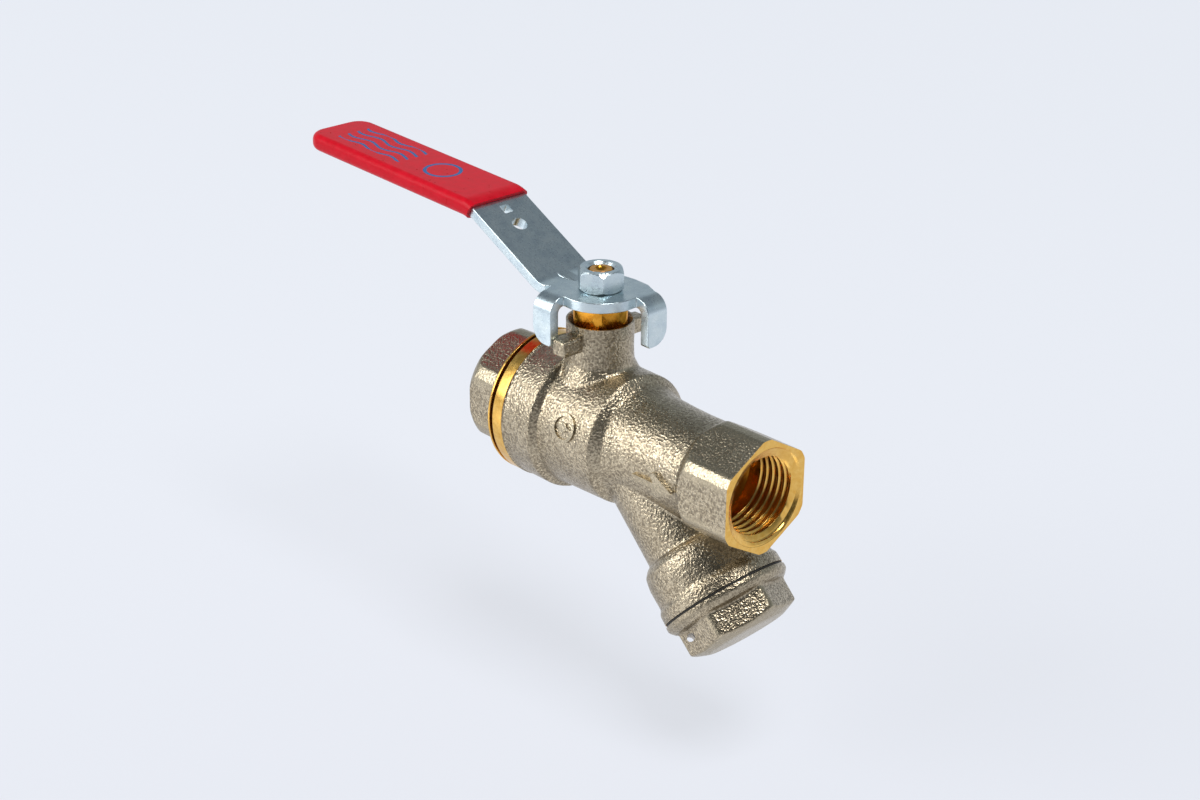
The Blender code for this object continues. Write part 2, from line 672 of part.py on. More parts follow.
def lever_sleeve(materials, axis):
    """Dipped PVC sleeve over the grip, closed at its end."""
    reach = SLEEVE_CLEARANCE + SLEEVE_WALL
    sleeve = sleeve_shape(
        "lever_sleeve",
        STRIP_HALF + reach,
        reach,
        SLEEVE_LEAD,
        reach,
        GRIP_CORNER + reach,
        materials["pvc"],
        axis,
    )
    inside = sleeve_shape(
        "sleeve_inside_cutter",
        STRIP_HALF + SLEEVE_CLEARANCE,
        SLEEVE_CLEARANCE,
        SLEEVE_LEAD + 2 * MM,
        SLEEVE_CLEARANCE,
        GRIP_CORNER,
        None,
        axis,
    )
    cut(sleeve, inside)


def lever_nut(materials, axis):
    nut = make_object(
        "lever_nut",
        hexagon(NUT_BOTTOM, NUT_TOP, NUT_HEX, "Z", phase=NUT_TURN),
        materials["zinc"],
        axis,
    )
    corner = NUT_HEX / math.sqrt(3)
    ease = 0.9 * MM
    blank = [
        (NUT_BOTTOM - REACH, 0),
        (NUT_BOTTOM - REACH, corner + 0.1 * MM),
        (NUT_TOP - ease / 2, corner + 0.1 * MM),
        (NUT_TOP + 0.01 * MM, corner - ease),
        (NUT_TOP + 0.01 * MM, 0),
    ]
    combine(nut, "INTERSECT", make_object("nut_chamfer_shape", turned(blank, "Z"), parent=axis))
    bore = [
        (NUT_BOTTOM - REACH, 0),
        (NUT_BOTTOM - REACH, NUT_BORE_R),
        (NUT_TOP - 0.5 * MM, NUT_BORE_R),
        (NUT_TOP + REACH, NUT_BORE_R + 1.5 * MM),
        (NUT_TOP + REACH, 0),
    ]
    cut(nut, make_object("nut_bore_cutter", turned(bore, "Z", SMALL_ROUND), parent=axis))


def strainer_cap(materials, branch):
    """Hexagonal plug with a flange; its recess holds the screen's lower end."""
    outer = [
        (CAP_PLUG_START, 0),
        (CAP_PLUG_START, CAP_PLUG_R - 0.6 * MM),
        (CAP_PLUG_START + 0.6 * MM, CAP_PLUG_R),
        (CAP_FLANGE_START, CAP_PLUG_R),
        (CAP_FLANGE_START, CAP_FLANGE_R - 0.2 * MM),
        (CAP_FLANGE_START + 0.3 * MM, CAP_FLANGE_R),
        (CAP_FLANGE_END - 1.6 * MM, CAP_FLANGE_R),
        (CAP_FLANGE_END - 0.6 * MM, CAP_FLANGE_R - 0.5 * MM),
        (CAP_FLANGE_END, CAP_FLANGE_R - 1.7 * MM),
        (CAP_FLANGE_END, 0),
    ]
    cap = make_object("strainer_cap", turned(outer), materials["brass"], branch)
    start = CAP_FLANGE_END - MM
    head = hexagon(start, CAP_END, CAP_HEX, "X", HEX_ROUND - 0.3 * MM, 1.1 * MM, CAP_TURN)
    join(cap, make_object("cap_hexagon_shape", head, parent=branch))
    recess = rod(CAP_PLUG_START - REACH, CAP_RECESS_END, CAP_RECESS_R)
    cut(cap, make_object("cap_recess_cutter", recess, parent=branch))
    hole = rod(-6 * MM, 6 * MM, SEAL_HOLE_R, "Z", 12)
    corner = math.radians(30) + CAP_TURN
    bmesh.ops.rotate(hole, verts=hole.verts, matrix=Matrix.Rotation(corner, 3, "X"))
    middle = (SEAL_HOLE_S, -math.cos(corner) * SEAL_HOLE_OUT, -math.sin(corner) * SEAL_HOLE_OUT)
    bmesh.ops.translate(hole, verts=hole.verts, vec=middle)
    cut(cap, make_object("seal_wire_cutter", hole, parent=branch))
    start = HEAD_END + 0.05 * MM
    gasket = ring(start, start + GASKET_THICKNESS, GASKET_IN_R, GASKET_OUT_R)
    make_object("cap_gasket", gasket, materials["rubber"], branch)


def strainer_screen(materials, branch):
    """Rolled screen between two end rings."""
    inner = SCREEN_R - RING_WALL
    touch = 0.1 * MM
    upper = ring(SCREEN_START, SCREEN_START + RING_HEIGHT, inner, SCREEN_R + 0.3 * MM)
    make_object("screen_upper_ring", upper, materials["steel"], branch)
    tube = ring(
        SCREEN_START + RING_HEIGHT + touch,
        SCREEN_END - RING_HEIGHT - touch,
        SCREEN_R - SCREEN_WALL,
        SCREEN_R,
    )
    make_object("strainer_screen", tube, materials["steel"], branch)
    lower = ring(SCREEN_END - RING_HEIGHT, SCREEN_END, inner, SCREEN_R + 0.3 * MM)
    make_object("screen_lower_ring", lower, materials["steel"], branch)


def build():
    clear_scene()
    materials = {
        "brass": make_material("nickel_plated_brass", (0.52, 0.48, 0.41), 0.35, 1.0),
        "chrome": make_material("chromed_brass", (0.8, 0.8, 0.82), 0.08, 1.0),
        "zinc": make_material("zinc_plated_steel", (0.6, 0.66, 0.7), 0.22, 1.0),
        "steel": make_material("stainless_steel", (0.6, 0.59, 0.57), 0.3, 1.0),
        "pvc": make_material("red_pvc", (0.58, 0.02, 0.03), 0.35, 0.0),
        "ptfe": make_material("white_ptfe", (0.85, 0.85, 0.83), 0.45, 0.0),
        "rubber": make_material("black_nitrile", (0.02, 0.02, 0.02), 0.6, 0.0),
    }
    stem_axis = make_empty("stem_axis")
    branch_axis = make_empty("branch_axis", (0, BRANCH_ANGLE, 0), (BRANCH_X, 0, 0))
    valve_body(materials, branch_axis)
    inlet_connector(materials)
    seats(materials)
    ball(materials, stem_axis)
    stem(materials, stem_axis)
    gland(materials)
    lever(materials, stem_axis)
    lever_sleeve(materials, stem_axis)
    lever_nut(materials, stem_axis)
    strainer_cap(materials, branch_axis)
    strainer_screen(materials, branch_axis)


build()
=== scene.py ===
"""A lever ball valve with a built-in Y strainer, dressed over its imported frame."""

import math

import bmesh
import bpy
from mathutils import Matrix, Vector


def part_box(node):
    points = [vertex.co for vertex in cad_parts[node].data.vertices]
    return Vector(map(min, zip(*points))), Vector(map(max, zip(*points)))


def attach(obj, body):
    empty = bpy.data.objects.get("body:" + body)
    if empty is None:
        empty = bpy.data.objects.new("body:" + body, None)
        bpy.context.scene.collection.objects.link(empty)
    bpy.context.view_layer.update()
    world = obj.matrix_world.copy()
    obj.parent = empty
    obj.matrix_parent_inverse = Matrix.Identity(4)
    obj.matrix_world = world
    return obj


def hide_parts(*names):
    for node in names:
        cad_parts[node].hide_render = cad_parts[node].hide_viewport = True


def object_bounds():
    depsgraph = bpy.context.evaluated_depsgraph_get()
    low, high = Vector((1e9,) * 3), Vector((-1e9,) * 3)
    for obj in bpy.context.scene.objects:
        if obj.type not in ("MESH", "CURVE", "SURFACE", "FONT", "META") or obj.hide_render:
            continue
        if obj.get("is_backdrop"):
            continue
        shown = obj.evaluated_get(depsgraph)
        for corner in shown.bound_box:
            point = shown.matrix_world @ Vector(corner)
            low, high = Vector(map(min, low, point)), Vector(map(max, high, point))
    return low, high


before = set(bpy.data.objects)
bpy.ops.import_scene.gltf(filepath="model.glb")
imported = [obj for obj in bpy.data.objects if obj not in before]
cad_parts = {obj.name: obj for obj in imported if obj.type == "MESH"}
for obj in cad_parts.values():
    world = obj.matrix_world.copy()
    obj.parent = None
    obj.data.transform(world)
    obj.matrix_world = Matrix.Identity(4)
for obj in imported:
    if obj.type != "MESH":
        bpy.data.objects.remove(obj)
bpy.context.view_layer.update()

MM = 0.001  # meshes are drawn in millimetres and scaled once, as they are placed
TAU = 2 * math.pi

# Pipe line, along X, in mm
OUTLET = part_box("body")[1].x / MM
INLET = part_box("inlet_connector")[0].x / MM
THREAD_PITCH = 1.814
THREAD_CREST = 9.3
THREAD_ROOT = 10.45
THREAD_DEPTH = 14.5
MOUTH_R = 11.63
OUTLET_HEX = 25.0
OUTLET_HEX_START = OUTLET - 15.4
OUTLET_BORE_R = 8.4
INLET_HEX = 27.0

# Ball, seats and chamber
BALL_R = 12.2
PORT_R = 7.2
SEAT_IN, SEAT_OUT, SEAT_R = 8.2, 11.3, 11.3
CHAMBER_R = 13.4

# Valve body
BODY_LEFT = -18.2
RING_R = 17.7
RING_END = -14.6
BODY_THREAD_R = 14.8

# Stem, packing and gland, along Z
NECK_R = 7.95
NECK_TOP = 26.5
STEM_R = 3.8
PACKING_BORE_R = 5.8
GLAND_HEX = 12.4
GLAND_TURN = math.radians(-43)
GLAND_TOP = 30.7
LUG_HALF, LUG_REACH, LUG_BOTTOM, LUG_TOP = 2.05, 13.1, 20.5, 24.2

# Lever, pressed from 2.5 mm sheet
SHEET = 2.5
HUB_TOP = 33.8
TAB_FACE, TAB_BEND, TAB_START, TAB_END, TAB_BOTTOM = 13.7, 4.0, 2.0, 8.0, 22.3
STRIP_HALF = 8.25
STRIP_ROOT = -11.0
STRIP_SLOPE = math.radians(27.5)
ROOT_BEND = 5.0
STRIP_RUN = 24.0
KNEE_BEND = 10.0
GRIP_SLOPE = math.radians(2.2)
GRIP_LENGTH = 59.5
HANG_HOLE_R = 1.95
HANG_HOLE_RUN = 16.5

# Lever nut, M6
NUT_HEX = 10.0
NUT_TURN = math.radians(-37)
NUT_BOTTOM, NUT_TOP = 33.9, 39.1

# Strainer branch, along its own axis
BRANCH_X = 12.6
BRANCH_ANGLE = math.radians(44.3)
BRANCH = Matrix.Translation((BRANCH_X, 0, 0)) @ Matrix.Rotation(BRANCH_ANGLE, 4, "Y")
HEAD_END = 40.8
CAP_SEAT = 41.4
CAP_FLANGE_END = 44.0
CAP_HEX = 24.0
CAP_END = 51.4
CAP_TURN = math.radians(4.5)
CAP_DROP = 23.5  # the cap sinks this far as it comes out, so the floor lies this far down
SEAL_HOLE_S, SEAL_HOLE_OUT, SEAL_HOLE_R = 46.2, 11.7, 0.9
SCREEN_R, SCREEN_START, SCREEN_END = 8.6, 9.8, 46.7

# Camera, in metres
CAMERA_TURN, CAMERA_RISE, CAMERA_ROLL = math.radians(46.58), math.radians(23.97), math.radians(0.61)
CAMERA_BACK, CAMERA_RIGHT, CAMERA_UP = 0.54307, 0.00017, 0.00534


# ---------------------------------------------------------------- shapes


def sketch(points):
    """Outline through (a, b, radius) points; a corner with a radius becomes a smooth curve."""
    made = []
    for number, (across, up, *radius) in enumerate(points):
        here = Vector((across, up))
        if not radius or number in (0, len(points) - 1):
            made.append(here)
            continue
        back = Vector(points[number - 1][:2]) - here
        onward = Vector(points[number + 1][:2]) - here
        half = back.angle(onward) / 2
        reach = min(radius[0] / math.tan(half), 0.48 * back.length, 0.48 * onward.length)
        first, last = here + back.normalized() * reach, here + onward.normalized() * reach
        for step in range(6):
            t = step / 5
            made.append(first * (1 - t) ** 2 + here * 2 * t * (1 - t) + last * t * t)
    return made


def circle(across, up, radius):
    """Outline of a round section, in 16 sides."""
    angles = [TAU * side / 16 for side in range(16)]
    return [(across + radius * math.cos(a), up + radius * math.sin(a)) for a in angles]


def turned(points, along="X", steps=144, closed=False):
    """Solid of revolution from an outline of (run, radius) points."""
    bm = bmesh.new()
    verts = [bm.verts.new((run, 0, radius)) for run, radius in sketch(points)]
    pairs = list(zip(verts, verts[1:])) + ([(verts[-1], verts[0])] if closed else [])
    edges = [bm.edges.new(pair) for pair in pairs]
    bmesh.ops.spin(
        bm, geom=verts + edges, cent=(0, 0, 0), axis=(1, 0, 0), angle=TAU, steps=steps, use_merge=True
    )
    bmesh.ops.remove_doubles(bm, verts=bm.verts, dist=1e-4)
    bmesh.ops.recalc_face_normals(bm, faces=bm.faces)
    if along == "Z":
        bmesh.ops.rotate(bm, verts=bm.verts, matrix=Matrix.Rotation(-TAU / 4, 3, "Y"))
    return bm


def prism(outline, bottom, top, bevel=0.0, segments=3):
    """Upright prism over an outline in X and Y, its corners and rims eased by the bevel."""
    bm = bmesh.new()
    face = bm.faces.new([bm.verts.new((x, y, bottom)) for x, y in outline])
    raised = bmesh.ops.extrude_face_region(bm, geom=[face])["geom"]
    lifted = [item for item in raised if isinstance(item, bmesh.types.BMVert)]
    bmesh.ops.translate(bm, verts=lifted, vec=(0, 0, top - bottom))
    bmesh.ops.recalc_face_normals(bm, faces=bm.faces)
    if bevel:
        ease(bm, bm.edges, bevel, segments)
    return bm


def ease(bm, edges, offset, segments=3):
    """Rounds edges over, in the mesh being drawn."""
    bmesh.ops.bevel(
        bm, geom=list(edges), offset=offset, segments=segments, profile=0.5, material=-1, affect="EDGES"
    )


def hexagon(start, end, across, along="X", rounding=0.0, phase=0.0):
    """Hexagonal bar. At phase 0 a corner points up, or to +X for an upright one."""
    corner = across / math.sqrt(3)
    angles = [phase + TAU * side / 6 for side in range(6)]
    bm = prism([(corner * math.cos(a), corner * math.sin(a)) for a in angles], start, end)
    if rounding:
        ease(bm, [e for e in bm.edges if abs(e.verts[0].co.z - e.verts[1].co.z) > 1], rounding, 5)
    if along == "X":
        bmesh.ops.rotate(bm, verts=bm.verts, matrix=Matrix.Rotation(TAU / 4, 3, "Y"))
    return bm


def block(low, high):
    """Cuboid between two corners."""
    bm = bmesh.new()
    size = Vector(high) - Vector(low)
    matrix = Matrix.Translation((Vector(low) + Vector(high)) / 2) @ Matrix.Diagonal((*size, 1))
    bmesh.ops.create_cube(bm, size=1, matrix=matrix)
    return bm


def piece_of(name, *shapes, material=None):
    """One object from one or more drawn shapes, still in millimetres."""
    mesh = bpy.data.meshes.new(name)
    whole = bmesh.new()
    for bm in shapes:
        part = bpy.data.meshes.new("part")
        bm.to_mesh(part)
        bm.free()
        whole.from_mesh(part)
        bpy.data.meshes.remove(part)
    whole.to_mesh(mesh)
    whole.free()
    made = bpy.data.objects.new(name, mesh)
    bpy.context.scene.collection.objects.link(made)
    if material:
        mesh.materials.append(material)
    return made


def settle(made):
    """Applies a piece's modifiers."""
    bpy.context.view_layer.update()
    graph = bpy.context.evaluated_depsgraph_get()
    old = made.data
    new = bpy.data.meshes.new_from_object(made.evaluated_get(graph))
    made.modifiers.clear()
    made.data = new
    bpy.data.meshes.remove(old)
    return made


def combine(made, operation, *others):
    """Boolean with other pieces; the faces that a cutter leaves keep the cutter's material."""
    for other in others:
        change = made.modifiers.new("combine", "BOOLEAN")
        change.object = other
        change.operation = operation
        change.solver = "EXACT"
        change.material_mode = "TRANSFER"
    settle(made)
    for other in others:
        bpy.data.objects.remove(other)
    return made


def trimmed(shape, limit):
    """What a shape and a limit share, drawn and ready for a piece."""
    made = piece_of("trimmed", shape)
    combine(made, "INTERSECT", piece_of("limit", limit))
    bm = bmesh.new()
    bm.from_mesh(made.data)
    bpy.data.objects.remove(made)
    return bm


def forge(made, grain, passes):
    """Turns overlapping shapes into one skin with a forging's soft corners and fillets."""
    skin = made.modifiers.new("skin", "REMESH")
    skin.mode = "VOXEL"
    skin.voxel_size = grain
    settle(made)
    bm = bmesh.new()
    bm.from_mesh(made.data)
    for _ in range(passes):
        bmesh.ops.smooth_vert(
            bm, verts=bm.verts, factor=0.5, use_axis_x=True, use_axis_y=True, use_axis_z=True
        )
    bm.to_mesh(made.data)
    bm.free()
    return made


def soften(made, width, segments=2, limit=30, clamp=True):
    """Eases every edge of a piece that is sharper than the limit."""
    bevel = made.modifiers.new("soft_edges", "BEVEL")
    bevel.width = width
    bevel.segments = segments
    bevel.limit_method = "ANGLE"
    bevel.angle_limit = math.radians(limit)
    bevel.use_clamp_overlap = clamp
    settle(made)


def place(made, body, slot, *nodes, angle=35, even=False):
    """Scales a finished piece to metres, shades it, and hangs it on its body."""
    mesh = made.data
    mesh.transform(Matrix.Scale(MM, 4))
    mesh.polygons.foreach_set("use_smooth", [True] * len(mesh.polygons))
    mesh.set_sharp_from_angle(angle=math.radians(angle))
    if even:
        # Flat faces keep their own normal right up to their rounded edges.
        weigh = made.modifiers.new("even_shading", "WEIGHTED_NORMAL")
        weigh.keep_sharp = True
        settle(made)
    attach(made, body)
    if nodes:
        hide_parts(*nodes)


def mark(made, name, measure):
    """Writes a 0 to 1 number on each point, for a material to read."""
    attribute = made.data.attributes.new(name, "FLOAT", "POINT")
    values = [min(1.0, max(0.0, measure(vert.co))) for vert in made.data.vertices]
    attribute.data.foreach_set("value", values)


# ---------------------------------------------------------------- materials


def linear(code):
    """Linear colour from an sRGB hex code."""
    parts = [int(code[start : start + 2], 16) / 255 for start in (1, 3, 5)]
    return (*(p / 12.92 if p <= 0.04045 else ((p + 0.055) / 1.055) ** 2.4 for p in parts), 1.0)


def feed(tree, node, sockets):
    """Gives each socket its value, or a link from the output that feeds it."""
    for name, value in sockets.items():
        if isinstance(value, bpy.types.NodeSocket):
            tree.links.new(value, node.inputs[name])
        else:
            node.inputs[name].default_value = value


def add(tree, kind, sockets=None, stops=(), **settings):
    """Adds a node with its settings, its sockets and, on a colour ramp, its (position, hex) stops."""
    node = tree.nodes.new(kind)
    for name, value in settings.items():
        setattr(node, name, value)
    feed(tree, node, sockets or {})
    if stops:
        elements = node.color_ramp.elements
        while len(elements) < len(stops):
            elements.new(0.5)
        for element, (position, code) in zip(elements, stops):
            element.position = position
            element.color = linear(code)
    return node


def start_material(name):
    """New material: its tree, its shader, and its Object coordinates in millimetres."""
    material = bpy.data.materials.new(name)
    material.use_nodes = True
    tree = material.node_tree
    shader = tree.nodes["Principled BSDF"]
    metres = add(tree, "ShaderNodeTexCoord").outputs["Object"]
    scaled = add(tree, "ShaderNodeMapping", {"Vector": metres, "Scale": (1 / MM,) * 3})
    return material, tree, shader, scaled.outputs["Vector"]


def shot_blasted_nickel():
    """Forged brass, shot-blasted to a 0.3 mm pebble grain, then satin nickel plated.

    A warm grey metal that glitters grain by grain. Its colour follows the grain's height: painted shade
    darkens the hollows and painted highlight lightens the crests. It is calmer where a die or a tool
    has pressed it smooth, and brass shows where it is rubbed through.
    """
    material, tree, shader, where = start_material("shot_blasted_nickel_plate")
    smooth = add(tree, "ShaderNodeAttribute", attribute_name="smoothed").outputs["Fac"]
    rubbed = add(tree, "ShaderNodeAttribute", attribute_name="rubbed").outputs["Fac"]
    # Grains of about 0.55 mm, because the real 0.3 mm ones are too fine to show
    pebble = add(
        tree, "ShaderNodeTexNoise", {"Vector": where, "Scale": 1.8, "Detail": 1.5, "Roughness": 0.5}
    ).outputs["Fac"]
    blotch = add(tree, "ShaderNodeTexNoise", {"Vector": where, "Scale": 0.16, "Detail": 3.0}).outputs["Fac"]
    # Grain colour set by its height: painted shade in the hollows, painted highlight on the crests
    painted_grain_shading = add(
        tree,
        "ShaderNodeValToRGB",
        {"Fac": pebble},
        [(0.38, "#786D5E"), (0.48, "#A3967F"), (0.60, "#C0B39B")],
    ).outputs["Color"]
    tone = add(
        tree, "ShaderNodeValToRGB", {"Fac": blotch}, [(0.35, "#93866F"), (0.65, "#B4A78F")]
    ).outputs["Color"]
    plated = add(
        tree, "ShaderNodeMix", {"Factor": 0.35, "A": painted_grain_shading, "B": tone}, data_type="RGBA"
    ).outputs["Result"]
    calm = add(tree, "ShaderNodeMath", {0: smooth, 1: 0.75}, operation="MULTIPLY").outputs[0]
    pressed = add(
        tree, "ShaderNodeMix", {"Factor": calm, "A": plated, "B": linear("#AFA38B")}, data_type="RGBA"
    ).outputs["Result"]
    worn = add(
        tree, "ShaderNodeMix", {"Factor": rubbed, "A": pressed, "B": linear("#C79A4E")}, data_type="RGBA"
    ).outputs["Result"]
    rough = add(
        tree,
        "ShaderNodeMapRange",
        {"Value": pebble, "From Min": 0.35, "From Max": 0.65, "To Min": 0.36, "To Max": 0.25},
    ).outputs["Result"]
    strength = add(
        tree, "ShaderNodeMapRange", {"Value": smooth, "To Min": 0.9, "To Max": 0.5}
    ).outputs["Result"]
    bump = add(
        tree, "ShaderNodeBump", {"Height": pebble, "Strength": strength, "Distance": 0.28 * MM}
    ).outputs["Normal"]
    feed(tree, shader, {"Base Color": worn, "Roughness": rough, "Normal": bump, "Metallic": 1.0})
    return material


def turned_brass(name="turned_brass", light="#EDC06A", dark="#E2AE52", roughness=0.22):
    """Bare brass cut on a lathe: bright yellow, with fine tool lines about 0.2 mm apart."""
    material, tree, shader, where = start_material(name)
    lines = add(tree, "ShaderNodeTexNoise", {"Vector": where, "Scale": 0.8, "Detail": 2.0}).outputs["Fac"]
    colour = add(tree, "ShaderNodeValToRGB", {"Fac": lines}, [(0.3, dark), (0.7, light)]).outputs["Color"]
    rough = add(
        tree, "ShaderNodeMapRange", {"Value": lines, "To Min": roughness - 0.08, "To Max": roughness + 0.1}
    ).outputs["Result"]
    rings = add(
        tree,
        "ShaderNodeTexWave",
        {"Vector": where, "Scale": 1.6, "Distortion": 0.4},
        wave_type="RINGS",
        rings_direction="X",
    ).outputs["Fac"]
    bump = add(
        tree, "ShaderNodeBump", {"Height": rings, "Strength": 0.25, "Distance": 0.02 * MM}
    ).outputs["Normal"]
    feed(tree, shader, {"Base Color": colour, "Roughness": rough, "Normal": bump, "Metallic": 1.0})
    return material


def bright_zinc():
    """Pressed steel, bright zinc plated with a blue passivation: cool, glossy, a little cloudy."""
    material, tree, shader, where = start_material("bright_zinc_plated_steel")
    cloud = add(tree, "ShaderNodeTexNoise", {"Vector": where, "Scale": 0.35, "Detail": 4.0}).outputs["Fac"]
    fine = add(tree, "ShaderNodeTexNoise", {"Vector": where, "Scale": 2.2, "Detail": 3.0}).outputs["Fac"]
    colour = add(
        tree,
        "ShaderNodeValToRGB",
        {"Fac": cloud},
        [(0.3, "#BDCBD2"), (0.5, "#CAD7DB"), (0.7, "#D3DEE0")],
    ).outputs["Color"]
    rough = add(
        tree,
        "ShaderNodeMapRange",
        {"Value": fine, "From Min": 0.3, "From Max": 0.7, "To Min": 0.26, "To Max": 0.34},
    ).outputs["Result"]
    bump = add(
        tree, "ShaderNodeBump", {"Height": fine, "Strength": 0.2, "Distance": 0.02 * MM}
    ).outputs["Normal"]
    feed(tree, shader, {"Base Color": colour, "Roughness": rough, "Normal": bump, "Metallic": 1.0})
    return material


def dipped_pvc():
    """PVC plastisol, hot-dipped: deep red, satin gloss, with a faint orange peel.

    Plain blue waves and a plain ring are printed on its top face only.
    """
    material, tree, shader, where = start_material("dipped_red_pvc")
    peel = add(tree, "ShaderNodeTexNoise", {"Vector": where, "Scale": 0.5, "Detail": 2.0}).outputs["Fac"]
    colour = add(
        tree, "ShaderNodeValToRGB", {"Fac": peel}, [(0.3, "#C00C1E"), (0.7, "#CC1326")]
    ).outputs["Color"]
    axes = add(tree, "ShaderNodeSeparateXYZ", {"Vector": where})
    swell = add(tree, "ShaderNodeMath", {0: axes.outputs["X"], 1: 0.55}, operation="MULTIPLY").outputs[0]
    swell = add(tree, "ShaderNodeMath", {0: swell}, operation="SINE").outputs[0]
    rise = add(tree, "ShaderNodeMath", {0: swell, 1: 1.4}, operation="MULTIPLY").outputs[0]
    bands = add(
        tree,
        "ShaderNodeTexWave",
        {"Vector": where, "Scale": 0.105, "Phase Offset": rise},
        bands_direction="Y",
    ).outputs["Fac"]
    lines = add(tree, "ShaderNodeMath", {0: bands, 1: 0.84}, operation="GREATER_THAN").outputs[0]
    length = add(
        tree, "ShaderNodeMath", {0: axes.outputs["X"], 1: -79.0, 2: 12.0}, operation="COMPARE"
    ).outputs[0]
    width = add(
        tree, "ShaderNodeMath", {0: axes.outputs["Y"], 1: 0.0, 2: 5.0}, operation="COMPARE"
    ).outputs[0]
    wave_patch = add(tree, "ShaderNodeMath", {0: length, 1: width}, operation="MULTIPLY").outputs[0]
    waves = add(tree, "ShaderNodeMath", {0: lines, 1: wave_patch}, operation="MULTIPLY").outputs[0]
    centred = add(
        tree, "ShaderNodeMapping", {"Vector": where, "Location": (56.0, 0, 0), "Scale": (1, 1, 0)}
    ).outputs["Vector"]
    out = add(tree, "ShaderNodeVectorMath", {0: centred}, operation="LENGTH").outputs["Value"]
    ring = add(tree, "ShaderNodeMath", {0: out, 1: 4.4, 2: 0.45}, operation="COMPARE").outputs[0]
    inked = add(tree, "ShaderNodeMath", {0: waves, 1: ring}, operation="MAXIMUM").outputs[0]
    facing = add(tree, "ShaderNodeTexCoord").outputs["Normal"]
    up = add(tree, "ShaderNodeSeparateXYZ", {"Vector": facing}).outputs["Z"]
    on_top = add(tree, "ShaderNodeMath", {0: up, 1: 0.95}, operation="GREATER_THAN").outputs[0]
    ink = add(tree, "ShaderNodeMath", {0: inked, 1: on_top}, operation="MULTIPLY").outputs[0]
    printed = add(
        tree, "ShaderNodeMix", {"Factor": ink, "A": colour, "B": linear("#2F6096")}, data_type="RGBA"
    ).outputs["Result"]
    rough = add(tree, "ShaderNodeMapRange", {"Value": peel, "To Min": 0.24, "To Max": 0.36}).outputs["Result"]
    bump = add(
        tree, "ShaderNodeBump", {"Height": peel, "Strength": 0.35, "Distance": 0.05 * MM}
    ).outputs["Normal"]
    feed(tree, shader, {"Base Color": printed, "Roughness": rough, "Normal": bump})
    feed(tree, shader, {"IOR": 1.53, "Specular IOR Level": 0.1})
    return material


def plain_finish(name, low, high, roughness, metallic=0.0, grain=1.5, depth=0.01):
    """Even finish with a slight mottle in its colour, gloss and surface."""
    material, tree, shader, where = start_material(name)
    mottle = add(tree, "ShaderNodeTexNoise", {"Vector": where, "Scale": grain, "Detail": 3.0}).outputs["Fac"]
    colour = add(tree, "ShaderNodeValToRGB", {"Fac": mottle}, [(0.3, low), (0.7, high)]).outputs["Color"]
    rough = add(
        tree, "ShaderNodeMapRange", {"Value": mottle, "To Min": roughness * 0.8, "To Max": roughness * 1.2}
    ).outputs["Result"]
    bump = add(
        tree, "ShaderNodeBump", {"Height": mottle, "Strength": 0.3, "Distance": depth * MM}
    ).outputs["Normal"]
    feed(tree, shader, {"Base Color": colour, "Roughness": rough, "Normal": bump, "Metallic": metallic})
    return material


NICKEL = shot_blasted_nickel()
BRASS = turned_brass()
# The same brass on the stem and gland: a finer cut, and a deeper, more orange yellow
AMBER = turned_brass("turned_brass_gland", "#E8A63C", "#D08A28", 0.16)
ZINC = bright_zinc()
PVC = dipped_pvc()
# Hard chrome, plated and polished: close to a mirror
CHROME = plain_finish("hard_chrome_plate", "#C9CBCE", "#DADCDE", 0.08, 1.0)
# PTFE, turned: white and waxy
PTFE = plain_finish("turned_ptfe", "#E4E4E0", "#F1F1EE", 0.42)
# Nitrile rubber, moulded: nearly black and matt
NITRILE = plain_finish("moulded_nitrile_rubber", "#121212", "#1E1E1D", 0.6, depth=0.03)
# Stainless steel, cold rolled: mid grey with a soft shine
STAINLESS = plain_finish("rolled_stainless_steel", "#A5A39E", "#BDBBB6", 0.3, 1.0)


# ---------------------------------------------------------------- valve body


def pipe_mouth(face, inward):
    """Cutter for a female pipe thread's bore, chamfered where it opens."""
    return turned(
        [
            (face - inward, 0),
            (face - inward, MOUTH_R + 1.0),
            (face, MOUTH_R),
            (face + inward * 1.1, THREAD_ROOT),
            (face + inward * THREAD_DEPTH, THREAD_ROOT),
            (face + inward * (THREAD_DEPTH + 0.6), OUTLET_BORE_R),
            (face + inward * (THREAD_DEPTH + 0.6), 0),
        ]
    )


